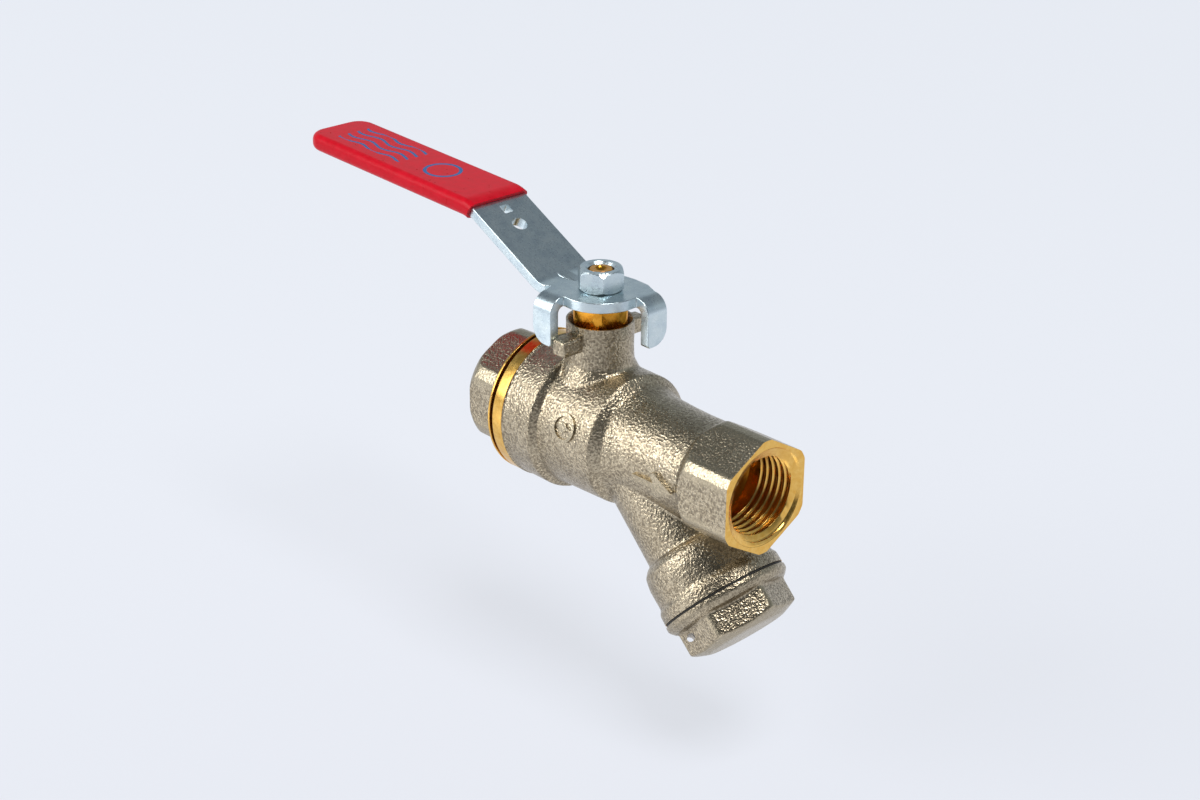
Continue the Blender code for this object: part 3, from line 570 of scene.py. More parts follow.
def pipe_thread(name, face, inward):
    """Helical ridges of a G 1/2 thread, which fade in at the mouth and out at the end."""
    turns = 7
    steps = 72
    start = face - inward * 0.9
    bm = bmesh.new()
    outline = [(-0.88, THREAD_ROOT + 0.1), (-0.42, THREAD_CREST + 0.14), (-0.24, THREAD_CREST)]
    outline += [(-run, radius) for run, radius in reversed(outline)]
    verts = [bm.verts.new((start + run, 0, radius)) for run, radius in outline]
    profile = bm.faces.new(verts)
    bmesh.ops.spin(
        bm,
        geom=[*verts, *profile.edges, profile],
        cent=(0, 0, 0),
        axis=(inward, 0, 0),
        dvec=(inward * THREAD_PITCH / steps, 0, 0),
        angle=TAU * turns,
        steps=steps * turns,
    )
    for vert in bm.verts:
        along = inward * (vert.co.x - start) / THREAD_PITCH
        turn = math.atan2(-inward * vert.co.y, vert.co.z) / TAU
        lap = turn + round(along - turn)
        fade = min(1.0, max(0.0, (turns - lap) / 0.5))
        depth = max(0.05, inward * (vert.co.x - face))
        radius = math.hypot(vert.co.y, vert.co.z)
        base = max(THREAD_ROOT + 0.1, MOUTH_R + 0.1 - 1.07 * depth)
        wanted = base + (radius - THREAD_ROOT - 0.1) * fade
        wanted = max(wanted, MOUTH_R + 0.1 - 2.1 * depth)
        vert.co.x = face + inward * depth
        vert.co.yz = vert.co.yz * (wanted / radius)
    bmesh.ops.remove_doubles(bm, verts=bm.verts, dist=1e-4)
    bmesh.ops.recalc_face_normals(bm, faces=bm.faces)
    return piece_of(name, bm, material=BRASS)


def wrench_hexagon(start, end, across, corner_r, rear, front):
    """Hexagon forged in the die: its corners are rounded off, and its ends run out in arcs."""
    limit = turned(
        [
            (start - 0.6, 0),
            (start - 0.6, across / 2 - rear),
            (start + 1.8, corner_r - 0.1, 1.2),
            (start + 3.4, corner_r, 2.0),
            (end - front, corner_r, 0.6),
            (end + 0.4, corner_r - front * 0.8),
            (end + 0.4, 0),
        ]
    )
    return trimmed(hexagon(start, end, across), limit)


def body_skin():
    """The forging before it is machined: run, hexagon, branch and neck."""
    run = turned(
        [
            (BODY_LEFT - 0.6, 0),
            (BODY_LEFT - 0.6, 18.1),
            (RING_END - 0.2, 18.1),
            (RING_END + 0.1, 17.45),
            (-5.4, 17.6, 0.3),
            (-4.3, 16.0, 0.5),
            (4.0, 15.85, 4.0),
            (12.5, 15.7, 0.4),
            (14.4, 13.6, 0.8),
            (18.0, 12.75, 3.0),
            (24.0, 12.3, 4.0),
            (30.0, 12.05, 4.0),
            (OUTLET - 3, 12.0),
            (OUTLET - 3, 0),
        ]
    )
    branch = turned(
        [
            (2, 0),
            (2, 11.4),
            (26.4, 11.75),
            (27.5, 11.75),
            (27.9, 12.6, 0.3),
            (29.4, 13.9, 0.8),
            (32.2, 14.4, 2.0),
            (37.2, 14.35, 0.8),
            (38.3, 15.1, 0.5),
            (HEAD_END + 0.6, 15.2),
            (HEAD_END + 0.6, 0),
        ]
    )
    bmesh.ops.transform(branch, matrix=BRANCH, verts=branch.verts)
    neck = turned(
        [
            (8, 0),
            (8, 10.0),
            (12.4, 10.0, 1.5),
            (14.8, 8.9, 2.0),
            (16.6, 8.0, 2.0),
            (20.0, 7.85, 2.0),
            (NECK_TOP + 0.5, NECK_R),
            (NECK_TOP + 0.5, 0),
        ],
        "Z",
    )
    hexagon_end = wrench_hexagon(OUTLET_HEX_START, OUTLET + 0.5, OUTLET_HEX, 13.75, 0.5, 0.2)
    skin = piece_of("body_forging", run, branch, neck, hexagon_end, material=NICKEL)
    return forge(skin, 0.34, 2)


def valve_body():
    """The forging, machined where the other pieces fit, with the outlet's thread."""
    body = body_skin()
    for side in (-1, 1):
        near, far = sorted((side * 6.6, side * LUG_REACH))
        lug = block((-LUG_HALF, near, LUG_BOTTOM), (LUG_HALF, far, LUG_TOP))
        for vert in lug.verts:
            vert.co.z += 0.5 if abs(vert.co.y) < 7 and vert.co.z > 22 else 0.0
        ease(lug, lug.edges, 0.5, 4)
        combine(body, "UNION", piece_of("lug", lug, material=NICKEL))
    turning = turned(
        [
            (BODY_LEFT - 2, BODY_THREAD_R),
            (BODY_LEFT, BODY_THREAD_R),
            (BODY_LEFT, RING_R - 0.4),
            (BODY_LEFT + 0.35, RING_R, 0.2),
            (RING_END - 0.25, RING_R),
            (RING_END, RING_R - 0.35),
            (RING_END + 0.05, 20),
            (BODY_LEFT - 2, 20),
        ],
        closed=True,
    )
    chamber = turned(
        [
            (BODY_LEFT - 2, 0),
            (BODY_LEFT - 2, BODY_THREAD_R + 0.01),
            (-8.5, BODY_THREAD_R + 0.01),
            (-8.5, CHAMBER_R),
            (7.6, CHAMBER_R),
            (7.6, SEAT_R + 0.3),
            (SEAT_OUT + 0.3, SEAT_R + 0.3),
            (SEAT_OUT + 0.3, PORT_R),
            (BRANCH_X + 3, PORT_R),
            (BRANCH_X + 3, 0),
        ],
        steps=96,
    )
    outlet_face = turned([(OUTLET, 0), (OUTLET, 20), (OUTLET + 3, 20), (OUTLET + 3, 0)], steps=48)
    outlet_bore = turned(
        [(26.5, 0), (26.5, OUTLET_BORE_R), (OUTLET - 13, OUTLET_BORE_R), (OUTLET - 13, 0)], steps=96
    )
    stem_bore = turned(
        [
            (CHAMBER_R - 3, 0),
            (CHAMBER_R - 3, 5.4),
            (15.6, 5.4),
            (15.6, 4.1),
            (18.8, 4.1),
            (18.8, PACKING_BORE_R),
            (NECK_TOP - 1.9, PACKING_BORE_R),
            (NECK_TOP, 7.5),
            (NECK_TOP, 12),
            (NECK_TOP + 2, 12),
            (NECK_TOP + 2, 0),
        ],
        "Z",
        96,
    )
    strainer_bore = turned(
        [
            (0, 0),
            (0, PORT_R),
            (9.5, PORT_R),
            (9.5, 9.3),
            (30.0, 9.3),
            (30.0, 11.2),
            (HEAD_END - 0.5, 11.2),
            (HEAD_END, 11.7),
            (HEAD_END, 18),
            (HEAD_END + 2, 18),
            (HEAD_END + 2, 0),
        ],
        steps=96,
    )
    bmesh.ops.transform(strainer_bore, matrix=BRANCH, verts=strainer_bore.verts)
    combine(body, "DIFFERENCE", piece_of("stem_bore", stem_bore, material=NICKEL))
    for number, cutter in enumerate(
        (turning, chamber, outlet_face, outlet_bore, pipe_mouth(OUTLET, -1), strainer_bore)
    ):
        combine(body, "DIFFERENCE", piece_of(f"cutter_{number}", cutter, material=BRASS))

    def smoothed(point):
        around = math.hypot(point.y, point.z)
        on_bar = point.x > OUTLET_HEX_START + 0.6 and around < 13.95
        return (around - 13.0) / 0.5 if on_bar else 0.0

    spot = Vector((38.9, -8.8, -13.6))

    def rubbed(point):
        local = BRANCH.inverted() @ point
        return 0.5 - abs(local.x - 28.3) / 1.1 - abs((point - spot).length) / 4.5

    mark(body, "smoothed", smoothed)
    mark(body, "rubbed", rubbed)
    place(body, "valve_body", "nickel_plated_brass", "body", angle=40)
    place(pipe_thread("outlet_thread", OUTLET, -1), "valve_body", "nickel_plated_brass")


def raised_mark(name, shape, level, height, turn):
    """Raised mark on the run: a shape drawn flat in X and Z, wrapped to the surface."""
    bmesh.ops.rotate(shape, verts=shape.verts, matrix=Matrix.Rotation(TAU / 4, 3, "X"))
    shell = turned([(-20, 0), (-20, level + height), (60, level + height), (60, 0)], steps=180)
    made = piece_of(name, shape, material=NICKEL)
    combine(made, "INTERSECT", piece_of("shell", shell))
    made.data.transform(Matrix.Rotation(turn, 4, "X"))
    mark(made, "smoothed", lambda point: 0.8)
    mark(made, "rubbed", lambda point: 0.0)
    place(made, "valve_body", "nickel_plated_brass", angle=30)


def flow_marks():
    """Flow arrow on the outlet run, and a plain raised ring with a drop in it on the barrel."""
    arrow = [(24.6, 0.75), (31.2, 0.75), (30.0, 2.6), (31.2, 3.1), (36.9, 0), (31.2, -3.1)]
    arrow += [(30.0, -2.6), (31.2, -0.75), (24.6, -0.75)]
    raised_mark("flow_arrow", prism(arrow, 10.5, 16.0), 12.3, 0.75, math.radians(4))
    ring = turned([(12, 2.7), (12, 3.5), (20, 3.5), (20, 2.7)], "Z", 64, True)
    bmesh.ops.translate(ring, verts=ring.verts, vec=(4.3, 0, 0))
    raised_mark("barrel_ring", ring, 15.85, 0.5, math.radians(-17.6))
    drop = [(6.6, 0), *circle(4.1, 0, 1.2)[1:]]
    raised_mark("barrel_drop", prism(drop, 12, 20), 15.85, 0.5, math.radians(-17.6))


# ---------------------------------------------------------------- inlet, ball and seats


def inlet_connector():
    """Screwed-in end: forged hexagon, machined collar and bore, its thread and its seal."""
    skin = piece_of(
        "inlet_connector_forging",
        wrench_hexagon(INLET - 0.4, -19.4, INLET_HEX, 14.75, 0.3, 0.1),
        material=NICKEL,
    )
    forge(skin, 0.36, 3)
    collar = turned(
        [
            (-20.6, 0),
            (-20.6, 14.6),
            (-19.75, 17.2, 0.3),
            (-19.5, RING_R, 0.2),
            (-18.95, RING_R, 0.1),
            (-18.9, 14.55),
            (-8.8, 14.55),
            (-8.8, 0),
        ]
    )
    combine(skin, "UNION", piece_of("collar", collar, material=BRASS))
    face = turned([(INLET - 3, 0), (INLET - 3, 20), (INLET, 20), (INLET, 0)], steps=48)
    pocket = turned(
        [
            (INLET + 13, 0),
            (INLET + 13, PORT_R),
            (-SEAT_OUT - 0.3, PORT_R),
            (-SEAT_OUT - 0.3, SEAT_R + 0.3),
            (-7, SEAT_R + 0.3),
            (-7, 0),
        ],
        steps=96,
    )
    for number, cutter in enumerate((face, pocket, pipe_mouth(INLET, 1))):
        combine(skin, "DIFFERENCE", piece_of(f"cutter_{number}", cutter, material=BRASS))
    mark(skin, "smoothed", lambda point: (math.hypot(point.y, point.z) - 14.0) / 0.5)
    mark(skin, "rubbed", lambda point: 0.0)
    place(skin, "valve_body", "nickel_plated_brass", "inlet_connector", angle=40)
    place(pipe_thread("inlet_thread", INLET, 1), "valve_body", "nickel_plated_brass")
    seal = turned(circle(-18.55, 14.9, 0.34), closed=True)
    o_ring = piece_of("connector_seal", seal, material=NITRILE)
    place(o_ring, "valve_body", "black_rubber", "connector_o_ring")


def ball_and_seats():
    """Bored ball with its drive slot, between two seats that are turned to its curve."""
    edge = math.asin(PORT_R / BALL_R)
    angles = [edge + (math.pi - 2 * edge) * k / 40 for k in range(41)]
    arc = [(BALL_R * math.cos(a), BALL_R * math.sin(a)) for a in angles]
    bored = piece_of("bored_ball", turned(arc, closed=True), material=CHROME)
    combine(bored, "DIFFERENCE", piece_of("slot", block((-2, -14, 8.9), (2, 14, 14)), material=CHROME))
    place(bored, "ball", "chromed_brass", "ball")
    touch = BALL_R + 0.25
    for name, node, side in (("seat_downstream", "outlet_seat", 1), ("seat_upstream", "inlet_seat", -1)):
        start = math.asin((PORT_R + 0.3) / touch)
        end = math.acos(SEAT_IN / touch)
        angles = [start + (end - start) * k / 8 for k in range(9)]
        face = [(touch * math.cos(a), touch * math.sin(a)) for a in angles]
        outline = [(SEAT_OUT, PORT_R + 0.3), *face, (SEAT_IN, SEAT_R), (SEAT_OUT, SEAT_R)]
        ring = turned([(side * run, radius) for run, radius in outline], closed=True)
        place(piece_of(name, ring, material=PTFE), "valve_body", "white_ptfe", node)


# ---------------------------------------------------------------- stem, gland and nut


def stem_and_gland():
    """Stem with its tang, flats and ring, the packing round it, and the gland that presses on that."""
    outline = [
        (12.6, 0),
        (12.6, 5.0, 0.2),
        (14.2, 5.0, 0.2),
        (14.2, STEM_R),
        (16.25, STEM_R),
        (16.25, 2.7),
        (18.15, 2.7),
        (18.15, STEM_R),
        (31.0, STEM_R, 0.2),
        (31.0, 3.6),
        (33.4, 3.6, 0.2),
        (33.4, 2.9),
        (38.3, 2.9, 0.1),
        (38.7, 2.5),
        (38.7, 1.5),
        (37.3, 0),
    ]
    made = piece_of("turned_stem", turned(outline, "Z", 96), material=AMBER)
    tang = piece_of("tang", block((-1.7, -4.2, 9.2), (1.7, 4.2, 13.1)), material=AMBER)
    combine(made, "UNION", tang)
    for side in (-1, 1):
        low, high = sorted((side * 2.7, side * 5.0))
        flat = piece_of(f"flat_{side}", block((low, -5, 31.0), (high, 5, 33.5)), material=AMBER)
        combine(made, "DIFFERENCE", flat)
    place(made, "stem_and_lever", "bright_brass", "stem")
    seal = turned(circle(17.2, 3.45, 0.6), "Z", 72, True)
    o_ring = piece_of("stem_seal", seal, material=NITRILE)
    place(o_ring, "stem_and_lever", "black_rubber", "stem_o_ring")
    rings = (
        ("thrust_ring", "stem_thrust_washer", 14.4, 15.4, 5.0),
        ("packing_low", "packing_ring_lower", 19.0, 20.9, 5.65),
        ("packing_high", "packing_ring_upper", 21.1, 23.0, 5.65),
    )
    for name, node, bottom, top, outer in rings:
        outline = [(bottom, 3.95), (bottom, outer, 0.2), (top, outer, 0.2), (top, 3.95)]
        ring = piece_of(name, turned(outline, "Z", 72, True), material=PTFE)
        place(ring, "valve_body", "white_ptfe", node)
    head = hexagon(24.8, GLAND_TOP, GLAND_HEX, "Z", phase=GLAND_TURN)
    nut = piece_of("gland_screw", head, material=AMBER)
    corner = GLAND_HEX / math.sqrt(3)
    limit = turned(
        [
            (24, 0),
            (24, 5.2),
            (26.7, corner - 0.15),
            (GLAND_TOP - 0.5, corner - 0.15, 0.3),
            (GLAND_TOP + 0.02, corner - 0.9),
            (GLAND_TOP + 0.02, 0),
        ],
        "Z",
        96,
    )
    combine(nut, "INTERSECT", piece_of("limit", limit, material=AMBER))
    shank = turned([(23.4, 0), (23.4, 5.65, 0.2), (26.8, 5.65), (26.8, 0)], "Z", 96)
    combine(nut, "UNION", piece_of("shank", shank, material=AMBER))
    bore = turned([(22, 0), (22, 4.1), (33, 4.1), (33, 0)], "Z", 72)
    combine(nut, "DIFFERENCE", piece_of("bore", bore, material=AMBER))
    place(nut, "valve_body", "bright_brass", "gland_nut")


def lever_nut():
    """Hexagon nut, chamfered above and below, with a clear bore for the stem."""
    bar = hexagon(NUT_BOTTOM, NUT_TOP, NUT_HEX, "Z", phase=NUT_TURN)
    nut = piece_of("lever_nut_m6", bar, material=ZINC)
    corner = NUT_HEX / math.sqrt(3)
    limit = turned(
        [
            (NUT_BOTTOM - 0.02, 0),
            (NUT_BOTTOM - 0.02, 4.85),
            (NUT_BOTTOM + 0.85, corner - 0.02),
            (NUT_TOP - 0.95, corner - 0.02),
            (NUT_TOP + 0.02, 4.75),
            (NUT_TOP + 0.02, 0),
        ],
        "Z",
        144,
    )
    combine(nut, "INTERSECT", piece_of("limit", limit, material=ZINC))
    bore = turned(
        [
            (NUT_BOTTOM - 1, 0),
            (NUT_BOTTOM - 1, 3.05),
            (NUT_TOP - 0.6, 3.05),
            (NUT_TOP, 3.6),
            (NUT_TOP + 1, 4.6),
            (NUT_TOP + 1, 0),
        ],
        "Z",
        96,
    )
    combine(nut, "DIFFERENCE", piece_of("bore", bore, material=ZINC))
    soften(nut, 0.12, 2)
    place(nut, "stem_and_lever", "zinc_plated_steel", "lever_nut", even=True)


# ---------------------------------------------------------------- lever


def pull(bm, edges, vec, steps=1):
    """Extrudes sheet edges by a vector, in equal steps, and gives the last edges."""
    for _ in range(steps):
        made = bmesh.ops.extrude_edge_only(bm, edges=edges)["geom"]
        moved = [item for item in made if isinstance(item, bmesh.types.BMVert)]
        bmesh.ops.translate(bm, verts=moved, vec=Vector(vec) / steps)
        edges = [item for item in made if isinstance(item, bmesh.types.BMEdge)]
    return edges


def bend(bm, edges, centre, axis, angle, steps):
    """Spins sheet edges around a bend's axis and gives the last edges."""
    verts = list({vert for edge in edges for vert in edge.verts})
    last = bmesh.ops.spin(
        bm, geom=verts + list(edges), cent=centre, axis=axis, angle=angle, steps=steps
    )["geom_last"]
    return [item for item in last if isinstance(item, bmesh.types.BMEdge)]


def round_corners(bm, verts, offset, segments):
    """Rounds the corners of a flat sheet."""
    bmesh.ops.bevel(
        bm, geom=verts, offset=offset, segments=segments, profile=0.5, material=-1, affect="VERTICES"
    )


def grip_path(bm, edges, run, grip):
    """Carries sheet edges up the slope, over the knee and along the grip."""
    edges = pull(bm, edges, (-run * math.cos(STRIP_SLOPE), 0, run * math.sin(STRIP_SLOPE)))
    knee = edges[0].verts[0].co
    normal = Vector((math.sin(STRIP_SLOPE), 0, math.cos(STRIP_SLOPE)))
    centre = (knee.x - KNEE_BEND * normal.x, 0, knee.z - KNEE_BEND * normal.z)
    edges = bend(bm, edges, centre, (0, -1, 0), STRIP_SLOPE - GRIP_SLOPE, 12)
    return pull(bm, edges, (-grip * math.cos(GRIP_SLOPE), 0, grip * math.sin(GRIP_SLOPE)))


def slope_place(run):
    """Point on the strip's middle line, that far up the slope."""
    back = STRIP_ROOT - ROOT_BEND * math.sin(STRIP_SLOPE)
    root = Vector((back, 0, HUB_TOP + ROOT_BEND * (1 - math.cos(STRIP_SLOPE))))
    return root + Vector((-math.cos(STRIP_SLOPE), 0, math.sin(STRIP_SLOPE))) * run


def strip_place(run):
    """Moves a shape to that point of the strip and tilts it with the slope."""
    return Matrix.Translation(slope_place(run)) @ Matrix.Rotation(STRIP_SLOPE, 4, "Y")


def thicken(made, thickness):
    """Gives a sheet its thickness, on the inside of its faces."""
    sheet = made.modifiers.new("sheet", "SOLIDIFY")
    sheet.thickness = thickness
    sheet.offset = -1
    sheet.use_even_offset = True
    return settle(made)


def lever():
    """Pressed lever: a hub plate with two stop tabs folded down, and a strip folded up and over."""
    bm = bmesh.new()
    line = TAB_FACE - TAB_BEND
    angles = [math.radians(-101 + 112 * k / 30) for k in range(31)]
    front = [(9.75 * math.cos(a), 9.75 * math.sin(a)) for a in angles]
    rear = sketch(
        [(line, TAB_END), (5.6, 9.7, 2.0), (1.0, 10.0, 6.0), (-5.0, 9.3, 6.0), (STRIP_ROOT, STRIP_HALF)]
    )
    notch = sketch(
        [(STRIP_ROOT, -STRIP_HALF), (-9.9, -STRIP_HALF, 0.5), (-8.9, -7.0, 0.8), (-TAB_END, -line)]
    )
    outline = [(-TAB_END, -line), (-TAB_START, -line), *front[1:-1], (line, TAB_START)]
    outline += [tuple(point) for point in rear] + [tuple(point) for point in notch[:-1]]
    verts = [bm.verts.new((x, y, HUB_TOP)) for x, y in outline]
    hub = bm.faces.new(verts)
    if hub.normal.z < 0:
        hub.normal_flip()

    def edge_between(first, second):
        pair = {
            min(verts, key=lambda v: (v.co.x - x) ** 2 + (v.co.y - y) ** 2) for x, y in (first, second)
        }
        return next(edge for edge in hub.edges if set(edge.verts) == pair)

    first_tab = edge_between((-TAB_END, -line), (-TAB_START, -line))
    second_tab = edge_between((line, TAB_START), (line, TAB_END))
    strip = edge_between((STRIP_ROOT, STRIP_HALF), (STRIP_ROOT, -STRIP_HALF))
    bend_z = HUB_TOP - TAB_BEND
    for edge, centre, turn, far in (
        (first_tab, (0, -line, bend_z), (1, 0, 0), (-TAB_END, -TAB_FACE)),
        (second_tab, (line, 0, bend_z), (0, 1, 0), (TAB_FACE, TAB_END)),
    ):
        end = pull(bm, bend(bm, [edge], centre, turn, TAU / 4, 10), (0, 0, TAB_BOTTOM - bend_z))
        corners = sorted(
            {vert for item in end for vert in item.verts},
            key=lambda v: math.hypot(v.co.x - far[0], v.co.y - far[1]),
        )
        for vert, offset in zip(corners, (4.0, 0.8)):
            round_corners(bm, [vert], offset, 8)
    root = bend(bm, [strip], (STRIP_ROOT, 0, HUB_TOP + ROOT_BEND), (0, 1, 0), STRIP_SLOPE, 10)
    end = grip_path(bm, root, STRIP_RUN, GRIP_LENGTH)
    free = list({vert for edge in end for vert in edge.verts})
    round_corners(bm, free, 4.0, 8)
    bmesh.ops.recalc_face_normals(bm, faces=bm.faces)
    if hub.is_valid and hub.normal.z < 0:
        bmesh.ops.reverse_faces(bm, faces=bm.faces)
    plate = thicken(piece_of("pressed_lever", bm, material=ZINC), SHEET)
    soften(plate, 0.35, 3, 40)

    hang = turned([(-5, 0), (-5, HANG_HOLE_R), (5, HANG_HOLE_R), (5, 0)], "Z", 64)
    bmesh.ops.transform(hang, matrix=strip_place(HANG_HOLE_RUN), verts=hang.verts)
    slot = prism([(-1.3, -1.3), (1.3, -1.3), (1.3, 1.3), (-1.3, 1.3)], -4.0, 3.0, 0.3, 2)
    bmesh.ops.transform(slot, matrix=strip_place(STRIP_RUN - 2.2), verts=slot.verts)
    stem_hole = turned([(27, 0), (27, STRIP_HALF / 2), (37, STRIP_HALF / 2), (37, 0)], "Z", 64)
    hole = piece_of("hole", stem_hole, material=ZINC)
    flats = block((-3.0, -6, 26), (3.0, 6, 38))
    combine(hole, "INTERSECT", piece_of("hole_flats", flats, material=ZINC))
    combine(
        plate,
        "DIFFERENCE",
        hole,
        piece_of("hang_hole", hang, material=ZINC),
        piece_of("slot", slot, material=ZINC),
    )
    # Gusset between the hub and the root of the strip
    rib = prism([(-15.3, -3.0), (-7.0, -3.4), (-7.0, 3.4), (-15.3, 3.0)], 0, 1)
    for vert in rib.verts:
        low = vert.co.z < 0.5
        vert.co.z = HUB_TOP - 1.2 if low else HUB_TOP + (0.02 if vert.co.x > -8 else 1.1)
        vert.co.y *= 1.0 if low else 0.45
    top_edges = [e for e in rib.edges if all(v.co.z > HUB_TOP - 0.1 for v in e.verts)]
    ease(rib, top_edges, 0.5, 3)
    combine(plate, "UNION", piece_of("rib", rib, material=ZINC))
    place(plate, "stem_and_lever", "zinc_plated_steel", "lever", angle=35, even=True)


def lever_sleeve():
    """Dipped sleeve over the grip, closed at its far end and soft at every edge."""
    lead = -0.9  # how far the open end stops short of the knee; below zero, it is past the knee's start
    wall = 0.95
    made = []
    for extra, name in ((wall, "dipped_sleeve"), (0.1, "inside")):
        inner = name == "inside"
        side = STRIP_HALF + extra
        bm = bmesh.new()
        at = slope_place(STRIP_RUN - lead - 5)
        edge = bm.edges.new([bm.verts.new((at.x, y, at.z)) for y in (side, -side)])
        end = grip_path(bm, [edge], lead + 5, GRIP_LENGTH + extra)
        free = list({vert for item in end for vert in item.verts})
        round_corners(bm, free, 4.0 + extra, 10)
        bmesh.ops.recalc_face_normals(bm, faces=bm.faces)
        bm.faces.ensure_lookup_table()
        if bm.faces[0].normal.z < 0:
            bmesh.ops.reverse_faces(bm, faces=bm.faces)
        shape = piece_of(name, bm, material=PVC)
        lift = shape.modifiers.new("lift", "DISPLACE")
        lift.direction = "NORMAL"
        lift.strength = extra
        lift.mid_level = 0
        thicken(shape, SHEET + 2 * extra)
        soften(shape, 0.3 if inner else 1.75, 2 if inner else 6, 40, False)
        made.append(shape)
    trim = block((0, -15, -15), (15, 15, 15))
    bmesh.ops.transform(trim, matrix=strip_place(STRIP_RUN - lead), verts=trim.verts)
    combine(made[0], "DIFFERENCE", made[1], piece_of("trim", trim, material=PVC))
    place(made[0], "stem_and_lever", "red_pvc", "lever_sleeve", angle=50, even=True)


# ---------------------------------------------------------------- strainer


def strainer_cap():
    """Forged cap: flange and rounded hexagon, with a threaded plug inside and a seal-wire hole."""
    flange = turned(
        [
            (CAP_SEAT - 0.5, 0),
            (CAP_SEAT - 0.5, 15.3),
            (CAP_FLANGE_END - 1.5, 15.35, 0.8),
            (CAP_FLANGE_END - 0.2, 14.2, 1.0),
            (CAP_FLANGE_END + 0.3, 12.6, 0.8),
            (CAP_FLANGE_END + 0.3, 0),
        ]
    )
    limit = turned(
        [
            (CAP_FLANGE_END - 2, 0),
            (CAP_FLANGE_END - 2, 14.3),
            (CAP_FLANGE_END + 0.2, 13.6, 0.5),
            (CAP_END - 1.7, 13.55, 0.2),
            (CAP_END - 1.05, 12.1),
            (CAP_END - 0.15, 9.7, 0.8),
            (CAP_END, 8.0),
            (CAP_END, 0),
        ]
    )
    head = trimmed(hexagon(CAP_FLANGE_END - 1, CAP_END, CAP_HEX, phase=CAP_TURN), limit)
    cap = forge(piece_of("cap_forging", flange, head, material=NICKEL), 0.3, 2)
    seat = turned([(CAP_SEAT - 2, 0), (CAP_SEAT - 2, 18), (CAP_SEAT, 18), (CAP_SEAT, 0)], steps=48)
    combine(cap, "DIFFERENCE", piece_of("seat", seat, material=BRASS))
    plug = turned(
        [(32.0, 0), (32.0, 10.3), (32.7, 10.95), (CAP_SEAT + 0.6, 10.95), (CAP_SEAT + 0.6, 0)], steps=96
    )
    combine(cap, "UNION", piece_of("plug", plug, material=BRASS))
    recess = turned([(31, 0), (31, 9.2), (47.0, 9.2, 0.5), (47.0, 0)], steps=96)
    combine(cap, "DIFFERENCE", piece_of("recess", recess, material=BRASS))
    hole = turned([(-7, 0), (-7, SEAL_HOLE_R), (7, SEAL_HOLE_R), (7, 0)], "Z", 32)
    corner = math.radians(30) + CAP_TURN
    middle = (SEAL_HOLE_S, -math.cos(corner) * SEAL_HOLE_OUT, -math.sin(corner) * SEAL_HOLE_OUT)
    bored = Matrix.Translation(middle) @ Matrix.Rotation(corner, 4, "X")
    bmesh.ops.transform(hole, matrix=bored, verts=hole.verts)
    combine(cap, "DIFFERENCE", piece_of("hole", hole, material=NICKEL))

    def smoothed(point):
        """Border of each flat, the chamfer and the end; only the middle of a flat stays coarse."""
        if point.x < CAP_FLANGE_END + 0.4:
            return 0.25
        angle = math.atan2(point.y, point.z) + CAP_TURN
        past_corner = abs((angle + TAU / 12) % (TAU / 6) - TAU / 12)
        across = math.hypot(point.y, point.z) * math.sin(past_corner)
        side = 1 - (across - 0.6) / 0.8
        return max(side, (point.x - CAP_END + 1.6) / 0.5)

    mark(cap, "smoothed", smoothed)
    mark(cap, "rubbed", lambda point: 0.0)
    cap.data.transform(BRANCH)
    place(cap, "cap", "nickel_plated_brass", "strainer_cap", angle=40)
    gasket = turned([(40.86, 11.6), (40.86, 15.0, 0.1), (41.34, 15.0, 0.1), (41.34, 11.6)], closed=True)
    bmesh.ops.transform(gasket, matrix=BRANCH, verts=gasket.verts)
    place(piece_of("flat_gasket", gasket, material=NITRILE), "cap", "black_rubber", "cap_gasket")


def strainer_screen():
    """Perforated stainless tube, rolled and held in two end rings."""
    around, rows = 60, 36
    low, high = SCREEN_START + 1.5, SCREEN_END - 1.5
    bm = bmesh.new()
    verts = [bm.verts.new((low + (high - low) * k / rows, 0, SCREEN_R)) for k in range(rows + 1)]
    edges = [bm.edges.new(pair) for pair in zip(verts, verts[1:])]
    bmesh.ops.spin(
        bm, geom=verts + edges, cent=(0, 0, 0), axis=(1, 0, 0), angle=TAU, steps=around, use_merge=True
    )
    bmesh.ops.recalc_face_normals(bm, faces=bm.faces)
    cells = list(bm.faces)
    bmesh.ops.inset_individual(bm, faces=cells, thickness=0.22, use_even_offset=True)
    bmesh.ops.delete(bm, geom=cells, context="FACES")
    bmesh.ops.transform(bm, matrix=BRANCH, verts=bm.verts)
    tube = thicken(piece_of("perforated_screen", bm, material=STAINLESS), 0.35)
    place(tube, "screen", "stainless_steel", "strainer_screen")
    for name, node, start in (
        ("screen_ring_high", "screen_upper_ring", SCREEN_START),
        ("screen_ring_low", "screen_lower_ring", SCREEN_END - 1.4),
    ):
        ring = turned(
            [(start, 7.3), (start, 8.9, 0.2), (start + 1.4, 8.9, 0.2), (start + 1.4, 7.3)], closed=True
        )
        bmesh.ops.transform(ring, matrix=BRANCH, verts=ring.verts)
        place(piece_of(name, ring, material=STAINLESS), "screen", "stainless_steel", node)


# ---------------------------------------------------------------- stage


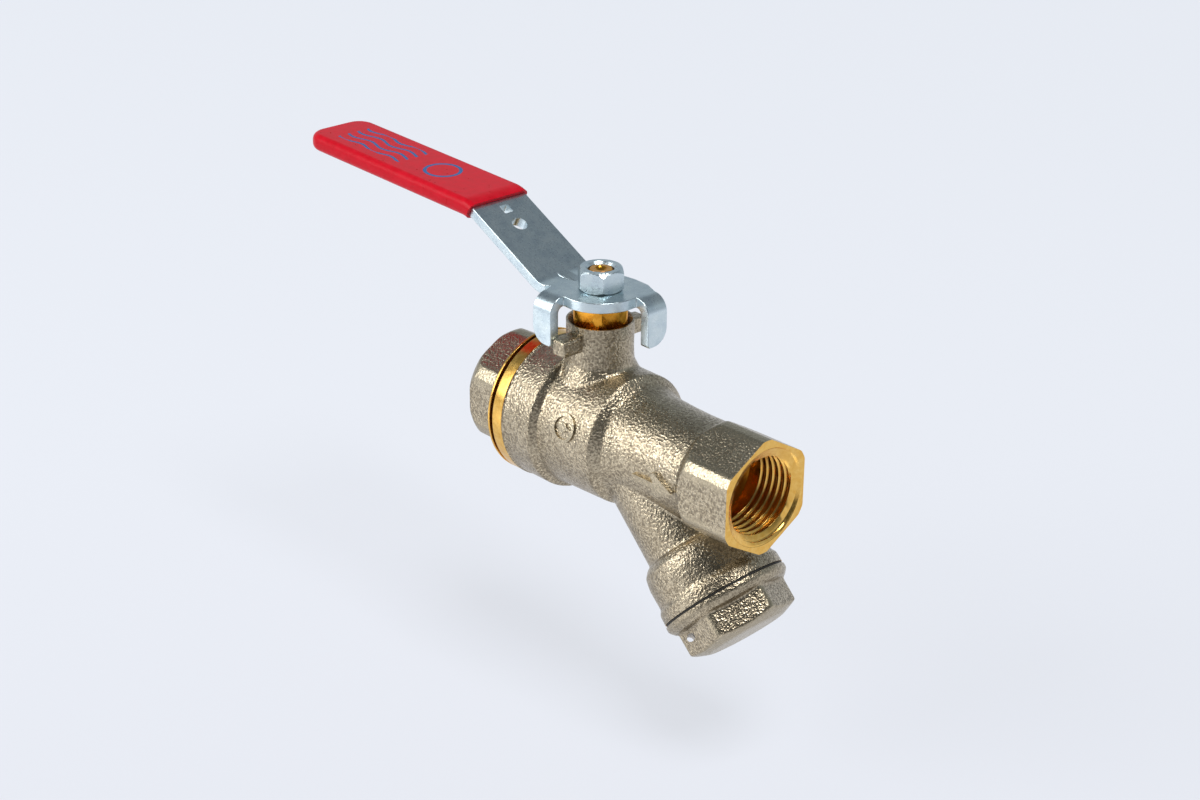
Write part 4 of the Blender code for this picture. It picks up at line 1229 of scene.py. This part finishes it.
def stage():
    """Pale, slightly glossy floor under a soft sky, a large light at the front left, one above."""
    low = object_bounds()[0].z
    bm = bmesh.new()
    bmesh.ops.create_circle(bm, cap_ends=True, segments=96, radius=6.0)
    bmesh.ops.translate(bm, verts=bm.verts, vec=(0, 0, low - CAP_DROP * MM))
    floor = bpy.data.meshes.new("floor")
    bm.to_mesh(floor)
    bm.free()
    made = bpy.data.objects.new("floor", floor)
    bpy.context.scene.collection.objects.link(made)
    material = bpy.data.materials.new("pale_studio_floor")
    material.use_nodes = True
    # Backlit glossy acrylic: an even pale tone from every side, with a faint mirror image.
    finish = {
        "Base Color": linear("#808289"),
        "Roughness": 0.14,
        "IOR": 1.7,
        "Emission Color": linear("#E8EAF0"),
        "Emission Strength": 0.72,
    }
    feed(material.node_tree, material.node_tree.nodes["Principled BSDF"], finish)
    floor.materials.append(material)
    made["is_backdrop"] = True

    world = bpy.data.worlds.new("studio")
    bpy.context.scene.world = world
    world.use_nodes = True
    tree = world.node_tree
    direction = add(tree, "ShaderNodeTexCoord").outputs["Generated"]
    height = add(tree, "ShaderNodeSeparateXYZ", {"Vector": direction}).outputs["Z"]
    sky = add(
        tree,
        "ShaderNodeValToRGB",
        {"Fac": height},
        [(0.0, "#C9CFDA"), (0.2, "#AEB6BF"), (0.42, "#BDC8CF"), (0.62, "#7E868D"), (1.0, "#666D73")],
    ).outputs["Color"]
    # A dark wing stands at the front right, so that the metal has something to reflect.
    aside = add(
        tree, "ShaderNodeVectorMath", {0: direction, 1: (0.72, -0.62, 0.31)}, operation="DOT_PRODUCT"
    ).outputs["Value"]
    shade = add(
        tree,
        "ShaderNodeMapRange",
        {"Value": aside, "From Min": 0.3, "From Max": 0.85, "To Min": 1.0, "To Max": 0.2},
    ).outputs["Result"]
    feed(tree, tree.nodes["Background"], {"Color": sky, "Strength": shade})

    for name, where, size, power in (
        ("key", (-0.58, -1.0, 0.58), 0.85, 10.7),
        ("top", (0.45, -0.1, 1.1), 0.5, 9.0),
    ):
        light = bpy.data.lights.new(name, "AREA")
        light.size = size
        light.energy = power
        lamp = bpy.data.objects.new(name, light)
        lamp.location = where
        lamp.rotation_mode = "QUATERNION"
        lamp.rotation_quaternion = (-Vector(where)).to_track_quat("-Z", "Y")
        bpy.context.scene.collection.objects.link(lamp)
    bpy.context.scene.view_settings.view_transform = "Standard"


def camera():
    """Studio camera, at the front right and above."""
    level = math.cos(CAMERA_RISE)
    back = Vector((math.sin(CAMERA_TURN) * level, -math.cos(CAMERA_TURN) * level, math.sin(CAMERA_RISE)))
    side = (-back).cross(Vector((0, 0, 1))).normalized()
    rise = side.cross(-back)
    right = side * math.cos(CAMERA_ROLL) + rise * math.sin(CAMERA_ROLL)
    up = rise * math.cos(CAMERA_ROLL) - side * math.sin(CAMERA_ROLL)
    eye = back * CAMERA_BACK + right * CAMERA_RIGHT + up * CAMERA_UP
    lens = bpy.data.cameras.new("studio_camera")
    lens.lens = 69.53
    lens.sensor_width = 36.0
    lens.clip_start = 0.01
    made = bpy.data.objects.new("studio_camera", lens)
    made.matrix_world = Matrix(
        (
            (right.x, up.x, back.x, eye.x),
            (right.y, up.y, back.y, eye.y),
            (right.z, up.z, back.z, eye.z),
            (0, 0, 0, 1),
        )
    )
    bpy.context.scene.collection.objects.link(made)
    bpy.context.scene.camera = made


camera()
valve_body()
flow_marks()
inlet_connector()
ball_and_seats()
stem_and_gland()
lever()
lever_sleeve()
lever_nut()
strainer_cap()
strainer_screen()
stage()
